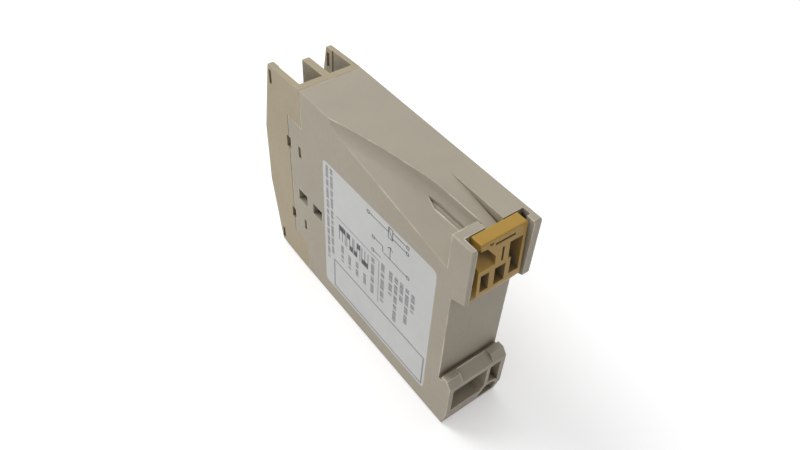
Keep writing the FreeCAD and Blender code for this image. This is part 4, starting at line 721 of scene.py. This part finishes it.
def scale_angles(steps, sweep):
    """Angles of a scale, even to both sides of its middle."""
    return [sweep * (index / steps - 0.5) for index in range(steps + 1)]


def paint_ticks(bm):
    """Long and short ticks round the dial, and one for each step of a selector."""
    for index, angle in enumerate(scale_angles(2 * SCALE_STEPS, SCALE_SWEEP)):
        outer = TICK_INNER + TICK_LENGTHS[index % 2]
        add_ray(bm, on_panel(DIAL_PLACE), TICK_INNER, outer, angle, TICK_WIDTH)
    for name, sweep, steps in SELECTORS:
        centre = on_panel(front_place(f"{name}_selector"))
        for angle in scale_angles(steps, sweep):
            add_ray(bm, centre, *SELECTOR_TICK, angle, TICK_WIDTH)


def number_mesh(text):
    """Flat closed figure for a number, centred on its own origin."""
    curve = bpy.data.curves.new("number", "FONT")
    curve.body = text
    curve.size = NUMBER_SIZE * MM
    curve.align_x = "CENTER"
    curve.align_y = "CENTER"
    curve.extrude = PAINT_DEPTH / 2 * MM
    curve.resolution_u = NUMBER_SMOOTHNESS
    holder = bpy.data.objects.new("number", curve)
    bpy.context.scene.collection.objects.link(holder)
    graph = bpy.context.evaluated_depsgraph_get()
    mesh = bpy.data.meshes.new_from_object(holder.evaluated_get(graph))
    bpy.data.objects.remove(holder)
    bpy.data.curves.remove(curve)
    return mesh


def paint_numbers(bm):
    """Numbers 0 to 10 round the dial."""
    for value, angle in enumerate(scale_angles(SCALE_STEPS, SCALE_SWEEP)):
        mesh = number_mesh(str(value))
        place = on_front(on_panel(DIAL_PLACE), NUMBER_RADIUS, angle) + PAINT_LIFT / 2
        mesh.transform(Matrix.Translation(place) @ NUMBER_TURN)
        bm.from_mesh(mesh)
        bpy.data.meshes.remove(mesh)


def paint_mark(name, material, body, centre, mark):
    """Mark on the face of a thing that turns; at rest it points to the middle of the scale."""
    inner, outer, width = mark
    closed_mesh(name, material, body, lambda bm: add_ray(bm, centre, inner, outer, 0.0, width))


def paint_front():
    """Scale and numbers on the panel, and a mark on each thing that turns."""
    closed_mesh("scale_ticks", PALE_INK, "housing", paint_ticks)
    closed_mesh("scale_numbers", PALE_INK, "housing", paint_numbers)
    paint_mark("dial_pointer", PALE_INK, "dial", DIAL_PLACE, DIAL_MARK)
    for name, _, _ in SELECTORS:
        place = front_place(f"{name}_selector")
        paint_mark(f"{name}_pointer", DARK_INK, f"{name}_rotor", place, ROTOR_MARK)


# Stage

def white_for_viewer(tree):
    """1 for rays that the viewer sees directly, in a reflection or through glass."""
    path = tree.nodes.new("ShaderNodeLightPath")
    total = path.outputs["Is Camera Ray"]
    for ray in ("Is Glossy Ray", "Is Transmission Ray"):
        larger = tree.nodes.new("ShaderNodeMath")
        larger.operation = "MAXIMUM"
        tree.links.new(total, larger.inputs[0])
        tree.links.new(path.outputs[ray], larger.inputs[1])
        total = larger.outputs["Value"]
    return total


def build_world():
    """Dome that lights the part from FRONT_SKY to REAR_SKY and looks white."""
    world = bpy.data.worlds.new("studio")
    world.use_nodes = True
    tree = world.node_tree
    light = tree.nodes["Background"]
    light.inputs["Color"].default_value = (1.0, 1.0, 1.0, 1.0)
    axes = tree.nodes.new("ShaderNodeSeparateXYZ")
    tree.links.new(tree.nodes.new("ShaderNodeTexCoord").outputs["Generated"], axes.inputs["Vector"])
    sky = tree.nodes.new("ShaderNodeMapRange")
    sky.inputs["From Min"].default_value = -1.0
    sky.inputs["To Min"].default_value = FRONT_SKY
    sky.inputs["To Max"].default_value = REAR_SKY
    tree.links.new(axes.outputs["Y"], sky.inputs["Value"])
    strength = tree.nodes.new("ShaderNodeMapRange")
    strength.inputs["To Max"].default_value = 1.0
    tree.links.new(white_for_viewer(tree), strength.inputs["Value"])
    tree.links.new(sky.outputs["Result"], strength.inputs["To Min"])
    tree.links.new(strength.outputs["Result"], light.inputs["Strength"])
    bpy.context.scene.world = world


def build_floor():
    """Pale floor that shows white and keeps the part's shadow."""
    mesh = bpy.data.meshes.new("floor")
    half = FLOOR_SIZE / 2
    corners = [(-half, -half, 0.0), (half, -half, 0.0), (half, half, 0.0), (-half, half, 0.0)]
    mesh.from_pydata(corners, [], [(0, 1, 2, 3)])
    floor = bpy.data.objects.new("floor", mesh)
    floor.location.z = -FLOOR_DROP
    bpy.context.scene.collection.objects.link(floor)
    material = bpy.data.materials.new("floor_paper")
    material.use_nodes = True
    tree = material.node_tree
    shader = tree.nodes["Principled BSDF"]
    shader.inputs["Base Color"].default_value = (FLOOR_GREY, FLOOR_GREY, FLOOR_GREY, 1.0)
    shader.inputs["Roughness"].default_value = FLOOR_ROUGHNESS
    shader.inputs["Specular IOR Level"].default_value = 0.0
    shader.inputs["Emission Color"].default_value = (1.0, 1.0, 1.0, 1.0)
    lift = tree.nodes.new("ShaderNodeMath")
    lift.operation = "MULTIPLY"
    lift.inputs[1].default_value = FLOOR_LIFT
    tree.links.new(white_for_viewer(tree), lift.inputs[0])
    tree.links.new(lift.outputs["Value"], shader.inputs["Emission Strength"])
    mesh.materials.append(material)


def build_key():
    """Large round lamp above the front."""
    lamp = bpy.data.lights.new("key", "AREA")
    lamp.shape = "DISK"
    lamp.size = KEY_SIZE
    lamp.energy = KEY_POWER
    key = bpy.data.objects.new("key", lamp)
    key.location = KEY_PLACE
    key.rotation_euler = (KEY_TARGET - KEY_PLACE).to_track_quat("-Z", "Y").to_euler()
    bpy.context.scene.collection.objects.link(key)


def build_camera():
    """The photo's camera."""
    forward = CAMERA_FORWARD.normalized()
    roll = math.radians(CAMERA_ROLL)
    level_right = forward.cross(Vector((0.0, 0.0, 1.0))).normalized()
    level_up = level_right.cross(forward)
    right = math.cos(roll) * level_right + math.sin(roll) * level_up
    up = -math.sin(roll) * level_right + math.cos(roll) * level_up
    camera = bpy.data.cameras.new("camera")
    camera.sensor_width = SENSOR_WIDTH
    camera.lens = FOCAL_PIXELS / FRAME_PIXELS * SENSOR_WIDTH
    camera.clip_start = CAMERA_NEAR
    camera.clip_end = CAMERA_FAR
    holder = bpy.data.objects.new("camera", camera)
    turn = Matrix((right, up, -forward)).transposed().to_4x4()
    holder.matrix_world = Matrix.Translation(CAMERA_PLACE) @ turn
    bpy.context.scene.collection.objects.link(holder)
    bpy.context.scene.camera = holder


dress_nodes()
print_label()
paint_front()
build_world()
build_floor()
build_key()
build_camera()
bpy.context.scene.view_settings.view_transform = "Standard"
